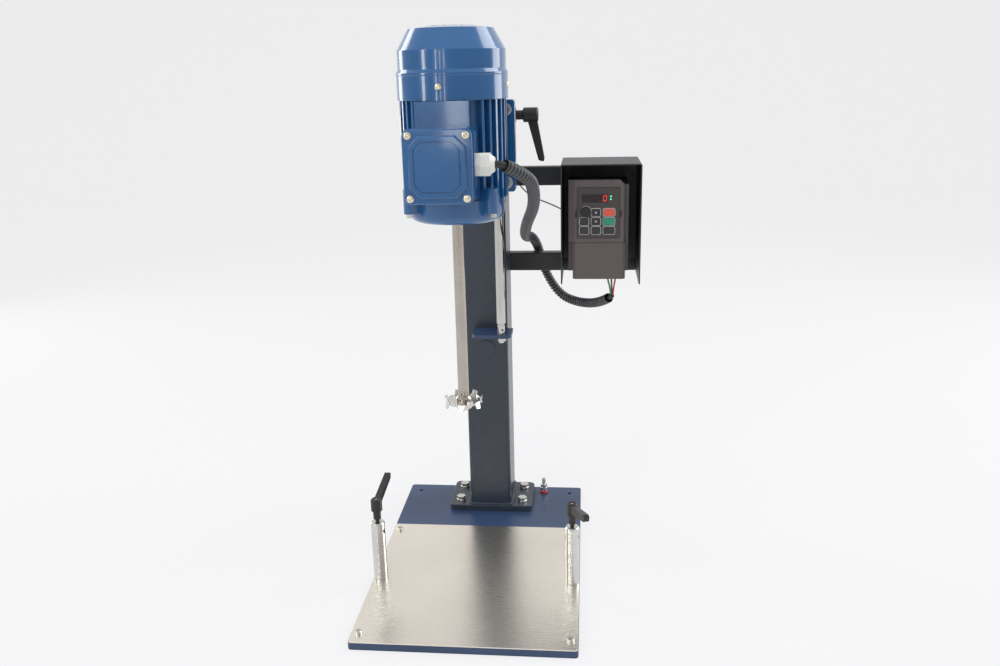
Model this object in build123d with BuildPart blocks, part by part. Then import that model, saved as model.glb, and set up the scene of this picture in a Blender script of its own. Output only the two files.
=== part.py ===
"""Laboratory disperser: a base with a column, a motor head that slides on it, and a speed drive.

Millimetres. X is to the right, Y to the back, Z up. The origin is the centre of the base plate's underside.
"""
import os
from math import cos, radians, sin, tan

from build123d import *

os.makedirs("parts", exist_ok=True)

# Base plate and work sheet
base_width = 300.0
base_depth = 464.0
base_thickness = 10.0
base_corner = 5.0
base_edge_break = 0.6
sheet_depth = 316.0
sheet_thickness = 1.5
sheet_screw_inset_x = 10.5
sheet_screw_inset_y = 20.0
sheet_screw_radius = 3.0
sheet_screw_head_radius = 5.0
sheet_screw_head_height = 4.0
bench_hole_radius = 3.3
bench_hole_inset_x = 19.5
bench_hole_inset_y = 23.0

# Column and its foot
column_width = 68.0
column_depth = 86.0
column_wall = 4.0
column_corner = 5.0
column_height = 652.0
column_setback = 2.0
foot_width = 138.0
foot_depth = 92.0
foot_thickness = 10.0
foot_corner = 9.0
foot_bolt_spacing_x = 104.0
foot_bolt_spacing_y = 50.0
bolt_radius = 4.0
bolt_head_flats = 13.0
bolt_head_height = 5.3
washer_radius = 8.0
washer_thickness = 1.6
cap_thickness = 3.0
cap_skirt = 10.0
plug_radius = 13.0
plug_rim = 1.5
plug_thickness = 1.0
plug_length = 8.0
plug_height = 293.0
cable_hole_radius = 4.0
cable_hole_height = 600.0

# Clearances
screw_clearance = 0.3
tapped_clearance = 0.1
slide_clearance = 0.3
running_clearance = 0.05
seat_clearance = 0.02

# Earth stud behind the column foot
earth_x = 86.0
earth_inset_y = 20.0
earth_stud_radius = 3.0
earth_stud_height = 27.0
earth_washer_radius = 6.5
earth_washer_thickness = 3.5
earth_nut_flats = 10.0
earth_nut_height = 5.0
earth_nut_gap = 1.6

# Container clamp posts and their levers
post_spacing = 279.0
post_radius = 10.0
post_height = 89.5
post_chamfer = 1.5
post_spigot_radius = 5.0
post_bore_radius = 5.1
post_bore_height = 76.5
post_stud_radius = 3.0
post_stud_depth = 7.0
post_stud_gap = 5.0
post_neck_radius = 5.5
post_neck_length = 12.0
post_hub_radius = 8.0
post_hub_length = 19.0
post_handle_reach = 62.0
post_handle_rise = 12.0
post_handle_thickness = 8.0

# Motor: the axis lies in front of the posts
motor_y = -128.0
motor_foot_height = 71.0
motor_foot_spacing_x = 112.0
motor_foot_spacing_z = 90.0
motor_foot_width = 135.0
motor_foot_length = 114.0
motor_foot_thickness = 8.0
motor_foot_block = 90.0
motor_centre_height = 627.0
housing_below = 53.0
housing_length = 116.0
housing_radius = 54.5
housing_bore = 45.0
fin_length = 8.5
fin_thickness = 3.2
fin_count = 36
fin_first = -50.0
fin_step = 360.0 / fin_count
fins_per_side = 10
box_pad_width = 62.0
box_pad_reach = 66.0
box_offset_x = -4.0
tie_bolt_radius = 2.5
tie_bolt_circle = 69.0
tie_ear_radius = 7.0
tie_ear_height = 15.0
tie_head_flats = 8.0
tie_head_height = 4.5
shield_height = 28.0
shield_radius = 58.0
shield_round = 10.0
shield_flange = 14.0
upper_shield_thickness = 6.0
upper_shield_margin = 2.5
bearing_outer_radius = 17.5
bearing_width = 11.0
stator_length = 76.0
stator_bore = 29.0
stator_rise = 5.0
air_gap = 0.6
winding_step = 2.0
winding_length = 12.0

# Fan cowl
cowl_overlap = 2.0
cowl_skirt_length = 28.0
cowl_bead_height = 6.0
cowl_body_length = 21.0
cowl_cone_length = 23.5
cowl_crown_rise = 3.5
cowl_margin = 2.5
cowl_bead_proud = 0.4
cowl_body_step = 2.0
cowl_cone_step = 13.3
cowl_crown_step = 24.0
cowl_crown_round = 16.0
cowl_shoulder_round = 9.0
cowl_bead_round = 1.2
cowl_wall = 1.6
cowl_slot_count = 12
cowl_slot_inner = 12.0
cowl_slot_outer = 34.0
cowl_slot_width = 4.0
cowl_screw_count = 4
cowl_screw_angle = -96.0
cowl_screw_rise = 15.0
cowl_screw_head_radius = 4.0
cowl_screw_head_height = 2.2
cowl_screw_shank_radius = 2.0
cowl_screw_length = 9.0

# Terminal box on the motor's front
box_width = 79.0
box_height = 82.0
box_depth = 34.0
box_corner = 8.0
box_wall = 3.5
box_drop = 7.5
lid_inset = 1.0
lid_thickness = 9.0
lid_panel_height = 3.0
lid_panel_margin = 6.5
lid_panel_cut = 12.0
lid_groove = 1.6
lid_screw_inset_x = 8.0
lid_screw_inset_z = 7.0
lid_screw_grip = 8.0
lid_screw_head_radius = 4.3
lid_screw_head_height = 2.6
gland_setback = 17.0
gland_flats = 24.0
gland_nut_flats = 23.0
gland_base_length = 4.5
gland_nut_length = 11.5
gland_dome_length = 5.0
gland_thread_radius = 10.0
motor_cable_radius = 4.0
cable_stub_length = 6.8

# Shaft, rotor and dispersing disc
shaft_radius = 7.0
shaft_stud_length = 12.0
shaft_seat_radius = 7.5
shaft_core_radius = 10.0
shaft_fan_radius = 6.0
fan_rise = 22.0
fan_height = 20.0
fan_margin = 11.5
fan_nut_length = 6.0
fan_blade_count = 6
fan_blade_thickness = 2.0
fan_hub_radius = 14.0
fan_disc_thickness = 3.0
shaft_reach = 318.0
disc_thickness = 2.0
disc_plate_radius = 22.5
tooth_count = 12
tooth_width = 9.0
tooth_height = 8.0
tooth_lean = 20.0
tooth_skew = 2.4
hub_collar_radius = 11.0
hub_collar_height = 6.0
disc_nut_flats = 17.0
disc_nut_height = 8.0
disc_stud_radius = 5.0

# Carriage
carriage_travel = 170.0
saddle_height = 108.0
saddle_drop = 67.0
saddle_wall = 6.0
saddle_gap = 2.5
saddle_slot = 36.0
pad_height = 24.0
pad_edge = 11.0
arm_width = 32.0
arm_height = 92.0
arm_wall = 4.0
motor_plate_thickness = 8.0
bolt_end_gap = 1.0
lock_boss_radius = 11.0
lock_boss_length = 7.5
lock_drop = 15.0
lock_stud_radius = 5.0
lock_neck_gap = 0.5
lock_neck_radius = 7.0
lock_neck_length = 10.5
lock_hub_radius = 11.0
lock_hub_length = 23.0
lock_handle_reach = 68.0
lock_handle_rise = 9.0
lock_handle_thickness = 10.0

# Gas spring and its shelf
spring_gap = 11.0
spring_reach = 31.0
shelf_top = 328.0
shelf_thickness = 5.5
shelf_left = -18.0
shelf_margin = 16.0
shelf_depth = 42.0
spring_tube_radius = 7.0
spring_tube_wall = 1.0
spring_lug_rise = 67.0
spring_fitting_radius = 6.0
spring_fitting_height = 14.0
spring_groove_depth = 1.0
spring_groove_height = 3.0
spring_cross_hole = 1.6
spring_guide_length = 12.0
spring_stud_radius = 4.0
spring_nut_flats = 13.0
spring_nut_height = 6.0
spring_rod_radius = 3.0
spring_lug_gap = 9.0
spring_lug_thickness = 6.0
spring_lug_left_margin = 9.0
spring_lug_right_margin = 13.0
spring_bracket_overlap = 28.0
spring_rod_nut_flats = 10.0
spring_rod_nut_height = 5.0

# Speed drive with its hood and arms
hood_left = 119.0
hood_width = 120.0
hood_front = 130.0
hood_above = 29.0
hood_below = 12.0
hood_sheet = 2.0
arm_gap = 12.0
drive_arm_depth = 20.0
drive_arm_height = 30.0
drive_arm_wall = 2.0
drive_arm_left = -17.0
upper_arm_height = 554.0
arm_pitch = 140.0
spacer_width = 28.0
spacer_height = 22.0
hood_screw_radius = 2.5
hood_screw_head_radius = 4.5
hood_screw_head_height = 2.5
hood_screw_inset = 6.8
drive_inset = 11.5
drive_width = 90.0
drive_rise = 7.0
drive_height = 131.0
drive_front = 127.0
drive_shell_depth = 15.0
drive_fin_count = 9
drive_fin_gap = 2.4
drive_fin_depth = 4.0
drive_fin_length = 52.0
cover_width = 82.5
cover_height = 93.0
cover_rise = 46.0
cover_bevel = 10.0
cover_bevel_depth = 8.0
cover_corner_cut = 6.0
terminal_cover_inset = 6.5
terminal_cover_width = 79.0
terminal_cover_drop = 10.0
cover_joint = 0.6
keypad_inset = 13.0
keypad_width = 63.0
keypad_rise = 7.0
keypad_height = 75.5
keypad_thickness = 8.0
keypad_clearance = 0.4
latch_width = 2.6
latch_height = 11.0
latch_rise = 37.0
display_inset = 7.2
display_width = 38.0
display_rise = 53.0
display_height = 12.4
display_thickness = 1.2
knob_inset = 13.0
knob_rise = 0.6
knob_radius = 7.2
knob_length = 4.5
knob_spindle_radius = 3.0
knob_spindle_length = 4.0
key_first_column = 10.5
key_second_column = 28.1
key_third_column = 47.5
key_bottom_row = 11.3
key_row_pitch = 13.55
key_narrow = 12.4
key_wide = 16.0
key_height = 10.4
key_corner = 1.8
key_proud = 0.9
key_pocket = 2.0
key_travel = 0.5
key_gap = 0.3
key_stop_gap = 0.2
keypad_proud = 0.5
key_bevel = 0.3
knob_bevel = 0.6
knob_groove = 1.2

# Flexible cables
conduit_radius = 7.9
conduit_bore = 6.0
conduit_bore_depth = 11.0
lead_radius = 3.4
wire_radius = 1.3
wire_entry_y = 152.0
twin_cable_radius = 2.0

# Places worked out from the sizes above
base_half = base_width / 2
base_front = -base_depth / 2
base_back = base_depth / 2
sheet_back = base_front + sheet_depth
sheet_top = base_thickness + sheet_thickness
sheet_centre_y = (base_front + sheet_back) / 2
post_y = sheet_centre_y
post_top = sheet_top + post_height
column_back = base_back - column_setback
column_front = column_back - column_depth
column_y = (column_front + column_back) / 2
foot_y = column_back - foot_depth / 2
foot_top = base_thickness + foot_thickness
column_top = foot_top + column_height
column_half = column_width / 2
earth_y = base_back - earth_inset_y
spring_x = arm_width / 2 + spring_gap
spring_y = column_front - spring_reach
spring_lug_left = spring_x - spring_lug_left_margin
spring_lug_right = spring_x + spring_lug_right_margin
shelf_right = spring_x + shelf_margin
motor_foot_face = motor_y + motor_foot_height
motor_foot_front = motor_foot_face - motor_foot_thickness
motor_plate_back = motor_foot_face + motor_plate_thickness
saddle_bottom = motor_centre_height - saddle_drop
saddle_top = saddle_bottom + saddle_height
spring_lug_height = saddle_top + spring_lug_rise
spring_tube_top = spring_lug_height - carriage_travel - spring_lug_gap
lock_height = saddle_top - lock_drop
saddle_inner = column_half + saddle_gap
saddle_outer = saddle_inner + saddle_wall
saddle_front = column_front - saddle_gap - saddle_wall
saddle_back = column_back + saddle_gap + saddle_wall
drive_arm_front = column_back + arm_gap
drive_arm_y = drive_arm_front + drive_arm_depth / 2
hood_back = drive_arm_front
housing_bottom = motor_centre_height - housing_below
housing_top = housing_bottom + housing_length
shield_bottom = housing_bottom - shield_height
fin_radius = housing_radius + fin_length
cowl_rim_height = housing_top - cowl_overlap
cowl_step_height = cowl_rim_height + cowl_skirt_length
cowl_bead_top = cowl_step_height + cowl_bead_height
cowl_shoulder_height = cowl_bead_top + cowl_body_length
cowl_crown_height = cowl_shoulder_height + cowl_cone_length
cowl_top_height = cowl_crown_height + cowl_crown_rise
cowl_screw_height = cowl_rim_height + cowl_screw_rise
cowl_rim_radius = fin_radius + cowl_margin
cowl_bead_radius = cowl_rim_radius + cowl_bead_proud
cowl_body_radius = cowl_rim_radius - cowl_body_step
cowl_crown_radius = cowl_body_radius - cowl_cone_step
cowl_top_radius = cowl_crown_radius - cowl_crown_step
upper_shield_radius = cowl_body_radius - upper_shield_margin
box_front = motor_y - box_pad_reach - box_depth
box_right = box_offset_x + box_width / 2
box_centre_height = motor_centre_height - box_drop
lid_front = box_front - lid_thickness
lid_width = box_width - 2 * lid_inset
lid_height = box_height - lid_inset
lid_screw_spacing_x = box_width - 2 * lid_screw_inset_x
lid_screw_spacing_z = box_height - 2 * lid_screw_inset_z
gland_y = box_front + gland_setback
disc_height = motor_centre_height - shaft_reach
fan_bottom = housing_top + fan_rise
fan_radius = cowl_body_radius - fan_margin
shaft_top = fan_bottom + fan_height + fan_nut_length
rotor_radius = stator_bore - air_gap
lower_arm_height = upper_arm_height - arm_pitch
hood_right = hood_left + hood_width
hood_top = upper_arm_height + hood_above
hood_bottom = lower_arm_height - hood_below
drive_left = hood_left + drive_inset
drive_bottom = lower_arm_height + drive_rise
drive_top = drive_bottom + drive_height
cover_bottom = drive_bottom + cover_rise
cover_top = cover_bottom + cover_height
terminal_cover_left = drive_left + terminal_cover_inset
terminal_cover_bottom = drive_bottom - terminal_cover_drop
keypad_left = drive_left + keypad_inset
keypad_bottom = cover_bottom + keypad_rise
latch_centre = keypad_bottom + latch_rise
display_left = keypad_left + display_inset
display_bottom = keypad_bottom + display_rise
key_columns = [keypad_left + inset for inset in (key_first_column, key_second_column, key_third_column)]
key_rows = [keypad_bottom + key_bottom_row + step * key_row_pitch for step in (2, 1, 0)]
key_widths = [key_narrow, key_narrow, key_wide]
knob_x = keypad_left + knob_inset
knob_height = key_rows[0] + knob_rise

motor_axis = Axis((0, motor_y, 0), (0, 0, 1))
motor_section = Plane((0, motor_y, 0), x_dir=(1, 0, 0), z_dir=(0, -1, 0))


def motor_level(height):
    """A level plane on the motor's axis."""
    return Plane((0, motor_y, height))


def facing_front(y):
    """A plane seen from the front: its x runs right, its y runs up, and it faces the viewer."""
    return Plane((0, y, 0), x_dir=(1, 0, 0), z_dir=(0, -1, 0))


def save(piece, name):
    """Labels one piece and writes its STEP file."""
    piece.label = name
    export_step(piece, f"parts/{name}.step")


def corners(spacing_x, spacing_y, centre_x=0.0, centre_y=0.0):
    """The four corners of a rectangle."""
    return [
        (centre_x + side * spacing_x / 2, centre_y + end * spacing_y / 2)
        for side in (-1, 1)
        for end in (-1, 1)
    ]


# Base plate
sheet_screw_points = corners(
    base_width - 2 * sheet_screw_inset_x, sheet_depth - 2 * sheet_screw_inset_y, 0, sheet_centre_y
)
post_points = [(-post_spacing / 2, post_y), (post_spacing / 2, post_y)]
foot_bolt_points = corners(foot_bolt_spacing_x, foot_bolt_spacing_y, 0, foot_y)
bench_hole_points = [
    (side * (base_half - bench_hole_inset_x), base_back - bench_hole_inset_y) for side in (-1, 1)
]

with BuildPart() as base_plate:
    with BuildSketch():
        RectangleRounded(base_width, base_depth, base_corner)
        with Locations(*sheet_screw_points):
            Circle(sheet_screw_radius + tapped_clearance, mode=Mode.SUBTRACT)
        with Locations(*post_points):
            Circle(post_spigot_radius + tapped_clearance, mode=Mode.SUBTRACT)
        with Locations(*foot_bolt_points):
            Circle(bolt_radius + tapped_clearance, mode=Mode.SUBTRACT)
        with Locations(*bench_hole_points):
            Circle(bench_hole_radius, mode=Mode.SUBTRACT)
        with Locations((earth_x, earth_y)):
            Circle(earth_stud_radius + tapped_clearance, mode=Mode.SUBTRACT)
    extrude(amount=base_thickness)
    outer_edges = base_plate.faces().sort_by(Axis.Z)[-1].outer_wire().edges()
    chamfer(outer_edges, base_edge_break)
save(base_plate.part, "base_plate")

# Stainless work sheet, flush with the plate's front and sides
with BuildPart() as top_sheet:
    with BuildSketch(Plane.XY.offset(base_thickness)):
        with Locations((0, sheet_centre_y)):
            Rectangle(base_width - 2 * base_edge_break, sheet_depth - base_edge_break)
        with Locations(*sheet_screw_points):
            Circle(sheet_screw_radius + screw_clearance, mode=Mode.SUBTRACT)
        with Locations(*post_points):
            Circle(post_spigot_radius + screw_clearance, mode=Mode.SUBTRACT)
    extrude(amount=sheet_thickness)
    front_corners = top_sheet.edges().filter_by(Axis.Z).group_by(Axis.Y)[0]
    fillet(front_corners, base_corner - base_edge_break)
save(top_sheet.part, "top_sheet")

with BuildPart() as sheet_screws:
    with BuildSketch(Plane.XY.offset(sheet_top)):
        with Locations(*sheet_screw_points):
            Circle(sheet_screw_head_radius)
    extrude(amount=sheet_screw_head_height)
    chamfer(sheet_screws.faces().sort_by(Axis.Z)[-4:].edges(), 0.8)
    with BuildSketch(Plane.XY.offset(sheet_top + sheet_screw_head_height)):
        with Locations(*sheet_screw_points):
            RegularPolygon(sheet_screw_head_radius / 2, 6, major_radius=False)
    extrude(amount=-sheet_screw_head_height / 2, mode=Mode.SUBTRACT)
    with BuildSketch(Plane.XY.offset(sheet_top)):
        with Locations(*sheet_screw_points):
            Circle(sheet_screw_radius)
    extrude(amount=-(sheet_top - 1))
save(sheet_screws.part, "sheet_screws")

# Column foot, column and their small pieces
with BuildPart() as column_foot:
    with BuildSketch(Plane.XY.offset(base_thickness)):
        with Locations((0, foot_y)):
            RectangleRounded(foot_width, foot_depth, foot_corner)
        with Locations(*foot_bolt_points):
            Circle(bolt_radius + screw_clearance, mode=Mode.SUBTRACT)
    extrude(amount=foot_thickness)
    chamfer(column_foot.faces().sort_by(Axis.Z)[-1].outer_wire().edges(), 0.8)
save(column_foot.part, "column_foot")

with BuildPart() as column:
    with BuildSketch(Plane.XY.offset(foot_top)):
        with Locations((0, column_y)):
            RectangleRounded(column_width, column_depth, column_corner)
            RectangleRounded(
                column_width - 2 * column_wall,
                column_depth - 2 * column_wall,
                column_corner - column_wall,
                mode=Mode.SUBTRACT,
            )
    extrude(amount=column_height)
    with BuildSketch(facing_front(column_front)):
        with Locations((0, plug_height)):
            Circle(plug_radius)
    extrude(amount=-column_wall, mode=Mode.SUBTRACT)
    with BuildSketch(facing_front(column_back)):
        with Locations((0, cable_hole_height)):
            Circle(cable_hole_radius)
    extrude(amount=column_wall, mode=Mode.SUBTRACT)
save(column.part, "column")

with BuildPart() as column_bolts:
    with BuildSketch(Plane.XY.offset(foot_top)):
        with Locations(*foot_bolt_points):
            Circle(washer_radius)
    extrude(amount=washer_thickness)
    with BuildSketch(Plane.XY.offset(foot_top + washer_thickness)):
        with Locations(*foot_bolt_points):
            RegularPolygon(bolt_head_flats / 2, 6, major_radius=False)
    extrude(amount=bolt_head_height)
    with BuildSketch(Plane.XY.offset(foot_top)):
        with Locations(*foot_bolt_points):
            Circle(bolt_radius)
    extrude(amount=-(foot_top - 1))
save(column_bolts.part, "column_bolts")

with BuildPart() as column_cap:
    with BuildSketch(Plane.XY.offset(column_top)):
        with Locations((0, column_y)):
            RectangleRounded(column_width, column_depth, column_corner)
    extrude(amount=cap_thickness)
    chamfer(column_cap.faces().sort_by(Axis.Z)[-1].edges(), 1)
    with BuildSketch(Plane.XY.offset(column_top)):
        with Locations((0, column_y)):
            Rectangle(
                column_width - 2 * (column_wall + screw_clearance),
                column_depth - 2 * (column_wall + screw_clearance),
            )
            Rectangle(
                column_width - 4 * column_wall,
                column_depth - 4 * column_wall,
                mode=Mode.SUBTRACT,
            )
    extrude(amount=-cap_skirt)
save(column_cap.part, "column_cap")

with BuildPart() as column_plug:
    with BuildSketch(facing_front(column_front)):
        with Locations((0, plug_height)):
            Circle(plug_radius + plug_rim)
    extrude(amount=plug_thickness)
    chamfer(column_plug.faces().sort_by(Axis.Y)[0].edges(), 0.5)
    with BuildSketch(facing_front(column_front)):
        with Locations((0, plug_height)):
            Circle(plug_radius - tapped_clearance)
            Circle(plug_radius - 2, mode=Mode.SUBTRACT)
    extrude(amount=-plug_length)
save(column_plug.part, "column_plug")

# Earth stud with its two nuts, and the red washer under them
with BuildPart() as earth_washer:
    with BuildSketch(Plane.XY.offset(base_thickness)):
        with Locations((earth_x, earth_y)):
            Circle(earth_washer_radius)
            Circle(earth_stud_radius + screw_clearance, mode=Mode.SUBTRACT)
    extrude(amount=earth_washer_thickness)
save(earth_washer.part, "earth_washer")

first_nut = base_thickness + earth_washer_thickness
second_nut = first_nut + earth_nut_height + earth_nut_gap
with BuildPart() as earth_stud:
    with BuildSketch(Plane.XY.offset(1)):
        with Locations((earth_x, earth_y)):
            Circle(earth_stud_radius)
    extrude(amount=base_thickness + earth_stud_height - 1)
    chamfer(earth_stud.faces().sort_by(Axis.Z)[-1].edges(), 0.6)
    for nut_bottom in (first_nut, second_nut):
        with BuildSketch(Plane.XY.offset(nut_bottom)):
            with Locations((earth_x, earth_y)):
                RegularPolygon(earth_nut_flats / 2, 6, major_radius=False)
        extrude(amount=earth_nut_height)
    with BuildSketch(Plane.XY.offset(first_nut + earth_nut_height)):
        with Locations((earth_x, earth_y)):
            Circle(earth_washer_radius - 0.5)
    extrude(amount=earth_nut_gap)
save(earth_stud.part, "earth_stud")


# Container clamp posts with a cross bore for a rod and a tapped hole for the lever
def clamp_post(x):
    """A turned post that stands on the work sheet and is held by a spigot in the base plate."""
    with BuildPart() as post:
        with BuildSketch(Plane.XY.offset(sheet_top)):
            with Locations((x, post_y)):
                Circle(post_radius)
        extrude(amount=post_height)
        chamfer(post.faces().sort_by(Axis.Z)[-1].edges(), post_chamfer)
        chamfer(post.faces().sort_by(Axis.Z)[0].edges(), post_chamfer / 3)
        with BuildSketch(Plane.XY.offset(sheet_top)):
            with Locations((x, post_y)):
                Circle(post_spigot_radius)
        extrude(amount=-(sheet_top - 1))
        with BuildSketch(Plane((x, post_y, 0), x_dir=(0, 1, 0), z_dir=(1, 0, 0))):
            with Locations((0, sheet_top + post_bore_height)):
                Circle(post_bore_radius)
        extrude(amount=post_radius, both=True, mode=Mode.SUBTRACT)
        with BuildSketch(Plane.XY.offset(post_top)):
            with Locations((x, post_y)):
                Circle(post_stud_radius + running_clearance)
        extrude(amount=-(post_height - post_bore_height), mode=Mode.SUBTRACT)
    return post.part


save(clamp_post(-post_spacing / 2), "left_clamp_post")
save(clamp_post(post_spacing / 2), "right_clamp_post")


def clamp_lever(place, stud_radius, stud_inside, stud_outside, neck, hub, handle, thickness):
    """An adjustable clamping lever: its axis is the plane's normal and its handle lies along the plane's x.

    neck and hub are (radius, length), and handle is (reach, rise).
    """
    neck_radius, neck_length = neck
    hub_radius, hub_length = hub
    reach, rise = handle
    neck_top = stud_outside + neck_length
    hub_top = neck_top + hub_length
    side = Plane(place.origin, x_dir=place.x_dir, z_dir=-place.y_dir)
    with BuildPart() as lever:
        with BuildSketch(side):
            with BuildLine():
                Polyline(
                    (0, stud_outside),
                    (neck_radius, stud_outside),
                    (neck_radius, neck_top - 1),
                    (hub_radius, neck_top + 1),
                    (hub_radius, hub_top - 2),
                    (hub_radius - 2, hub_top),
                    (0, hub_top),
                    (0, stud_outside),
                )
            make_face()
        revolve(axis=Axis(place.origin, place.z_dir))
        with BuildSketch(side):
            with BuildLine():
                Polyline(
                    (0, neck_top + hub_length / 3),
                    (hub_radius, neck_top + hub_length / 3),
                    (reach, hub_top + rise - 9),
                    (reach + 2, hub_top + rise - 1),
                    (reach - 3, hub_top + rise),
                    (hub_radius, hub_top - 1),
                    (0, hub_top - 1),
                    (0, neck_top + hub_length / 3),
                )
            make_face()
        extrude(amount=thickness / 2, both=True)
        across = lever.edges().filter_by(Axis(place.origin, place.y_dir))
        fillet(across.sort_by(Axis(place.origin, place.x_dir))[-3:], 1.5)
        with BuildSketch(place.offset(hub_top)):
            Circle(hub_radius / 3)
        extrude(amount=-3, mode=Mode.SUBTRACT)
        with BuildSketch(place.offset(stud_outside)):
            Circle(stud_radius)
        extrude(amount=-(stud_outside + stud_inside))
    return lever.part


post_lever_sizes = dict(
    stud_radius=post_stud_radius,
    stud_inside=post_stud_depth,
    stud_outside=post_stud_gap,
    neck=(post_neck_radius, post_neck_length),
    hub=(post_hub_radius, post_hub_length),
    handle=(post_handle_reach, post_handle_rise),
    thickness=post_handle_thickness,
)
left_lever_place = Plane((-post_spacing / 2, post_y, post_top), x_dir=(0.07, 1, 0), z_dir=(0, 0, 1))
right_lever_place = Plane((post_spacing / 2, post_y, post_top), x_dir=(0.33, -1, 0), z_dir=(0, 0, 1))
save(clamp_lever(left_lever_place, **post_lever_sizes), "left_post_lever")
save(clamp_lever(right_lever_place, **post_lever_sizes), "right_post_lever")

# Motor housing with fins, box pad, feet and tie-bolt ears
fins_top = cowl_rim_height - screw_clearance


def tie_ears(bottom, height):
    """Four ears for the tie bolts, joined to the motor's middle by webs."""
    with BuildPart() as ears:
        with BuildSketch(motor_level(bottom)):
            with PolarLocations(tie_bolt_circle / 2, 4, start_angle=45):
                Rectangle(tie_bolt_circle, 2 * tie_ear_radius)
            with PolarLocations(tie_bolt_circle, 4, start_angle=45):
                Circle(tie_ear_radius)
        extrude(amount=height)
    return ears.part


def tie_pins(bottom, height, radius):
    """Four rods on the tie-bolt circle, for cutting holes."""
    with BuildPart() as pins:
        with BuildSketch(motor_level(bottom)):
            with PolarLocations(tie_bolt_circle, 4, start_angle=45):
                Circle(radius)
        extrude(amount=height)
    return pins.part


with BuildPart() as motor_housing:
    with BuildSketch(motor_level(housing_bottom)):
        Circle(housing_radius)
    extrude(amount=housing_top - housing_bottom)
    with BuildSketch(motor_level(housing_bottom)):
        fin_middle = (housing_radius + fin_radius) / 2 - 1
        fin_span = (fins_per_side - 1) * fin_step
        for start in (fin_first, 180 - fin_first - fin_span):
            with PolarLocations(fin_middle, fins_per_side, start, fin_span, endpoint=True):
                Rectangle(fin_radius - housing_radius + 2, fin_thickness)
    extrude(amount=fins_top - housing_bottom)
    with BuildSketch(motor_level(housing_bottom)):
        with Locations((box_offset_x, -box_pad_reach / 2)):
            Rectangle(box_pad_width, box_pad_reach)
        with Locations((0, (motor_foot_height - motor_foot_thickness) / 2)):
            Rectangle(motor_foot_block, motor_foot_height - motor_foot_thickness)
    extrude(amount=fins_top - housing_bottom)
    add(tie_ears(housing_bottom, tie_ear_height))
    with BuildSketch(facing_front(motor_foot_face)):
        with Locations((0, motor_centre_height)):
            RectangleRounded(motor_foot_width, motor_foot_length, 4)
            with GridLocations(motor_foot_spacing_x, motor_foot_spacing_z, 2, 2):
                Circle(bolt_radius + screw_clearance, mode=Mode.SUBTRACT)
    extrude(amount=motor_foot_thickness)
    with BuildSketch(motor_level(housing_bottom)):
        Circle(housing_bore)
    extrude(amount=housing_top - housing_bottom, mode=Mode.SUBTRACT)
    add(tie_pins(housing_bottom, tie_ear_height, tie_bolt_radius + tapped_clearance), mode=Mode.SUBTRACT)
save(motor_housing.part, "motor_housing")

with BuildPart() as lower_end_shield:
    with BuildSketch(motor_section):
        with BuildLine():
            Polyline(
                (shaft_seat_radius + 1, shield_bottom),
                (shield_radius, shield_bottom),
                (shield_radius, housing_bottom),
                (bearing_outer_radius + seat_clearance, housing_bottom),
                (bearing_outer_radius + seat_clearance, housing_bottom - bearing_width - 5),
                (shaft_seat_radius + 1, housing_bottom - bearing_width - 5),
                (shaft_seat_radius + 1, shield_bottom),
            )
        make_face()
    revolve(axis=motor_axis)
    fillet(lower_end_shield.faces().sort_by(Axis.Z)[0].outer_wire().edges(), shield_round)
    add(tie_ears(housing_bottom - shield_flange, shield_flange))
    with BuildSketch(motor_level(housing_bottom)):
        Circle(bearing_outer_radius + seat_clearance)
    extrude(amount=-(bearing_width + 5), mode=Mode.SUBTRACT)
    with BuildSketch(motor_level(housing_bottom)):
        Circle(shaft_seat_radius + 1)
    extrude(amount=-shield_height, mode=Mode.SUBTRACT)
    flange_bottom = housing_bottom - shield_flange
    add(tie_pins(flange_bottom, shield_flange, tie_bolt_radius + screw_clearance), mode=Mode.SUBTRACT)
save(lower_end_shield.part, "lower_end_shield")

with BuildPart() as upper_end_shield:
    with BuildSketch(motor_level(housing_top)):
        Circle(upper_shield_radius)
    extrude(amount=upper_shield_thickness)
    with BuildSketch(motor_level(housing_top)):
        Circle(bearing_outer_radius + 5)
        with PolarLocations(cowl_body_radius - 8, cowl_screw_count, start_angle=cowl_screw_angle):
            Rectangle(15, 10)
    extrude(amount=cowl_screw_height + 5 - housing_top)
    with BuildSketch(motor_level(housing_top)):
        Circle(bearing_outer_radius + seat_clearance)
    extrude(amount=bearing_width + 2, mode=Mode.SUBTRACT)
    with BuildSketch(motor_level(housing_top)):
        Circle(shaft_seat_radius + 1)
    extrude(amount=cowl_screw_height + 5 - housing_top, mode=Mode.SUBTRACT)
    for index in range(cowl_screw_count):
        turn = radians(cowl_screw_angle + index * 360 / cowl_screw_count)
        outward = Vector(cos(turn), sin(turn), 0)
        with BuildSketch(Plane((0, motor_y, cowl_screw_height), z_dir=outward).offset(cowl_body_radius)):
            Circle(cowl_screw_shank_radius + tapped_clearance)
        extrude(amount=-12, mode=Mode.SUBTRACT)
save(upper_end_shield.part, "upper_end_shield")

# Ball bearings, one in each end shield
lower_bearing_bottom = housing_bottom - bearing_width - 5
upper_bearing_bottom = housing_top + 2
with BuildPart() as bearings:
    for bottom in (lower_bearing_bottom, upper_bearing_bottom):
        with BuildSketch(motor_level(bottom)):
            Circle(bearing_outer_radius)
            Circle(shaft_seat_radius + running_clearance, mode=Mode.SUBTRACT)
        extrude(amount=bearing_width)
        for face_height in (bottom, bottom + bearing_width):
            with BuildSketch(motor_level(face_height)):
                Circle(bearing_outer_radius - 3)
                Circle(shaft_seat_radius + 3, mode=Mode.SUBTRACT)
            extrude(amount=0.8, both=True, mode=Mode.SUBTRACT)
save(bearings.part, "bearings")

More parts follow.
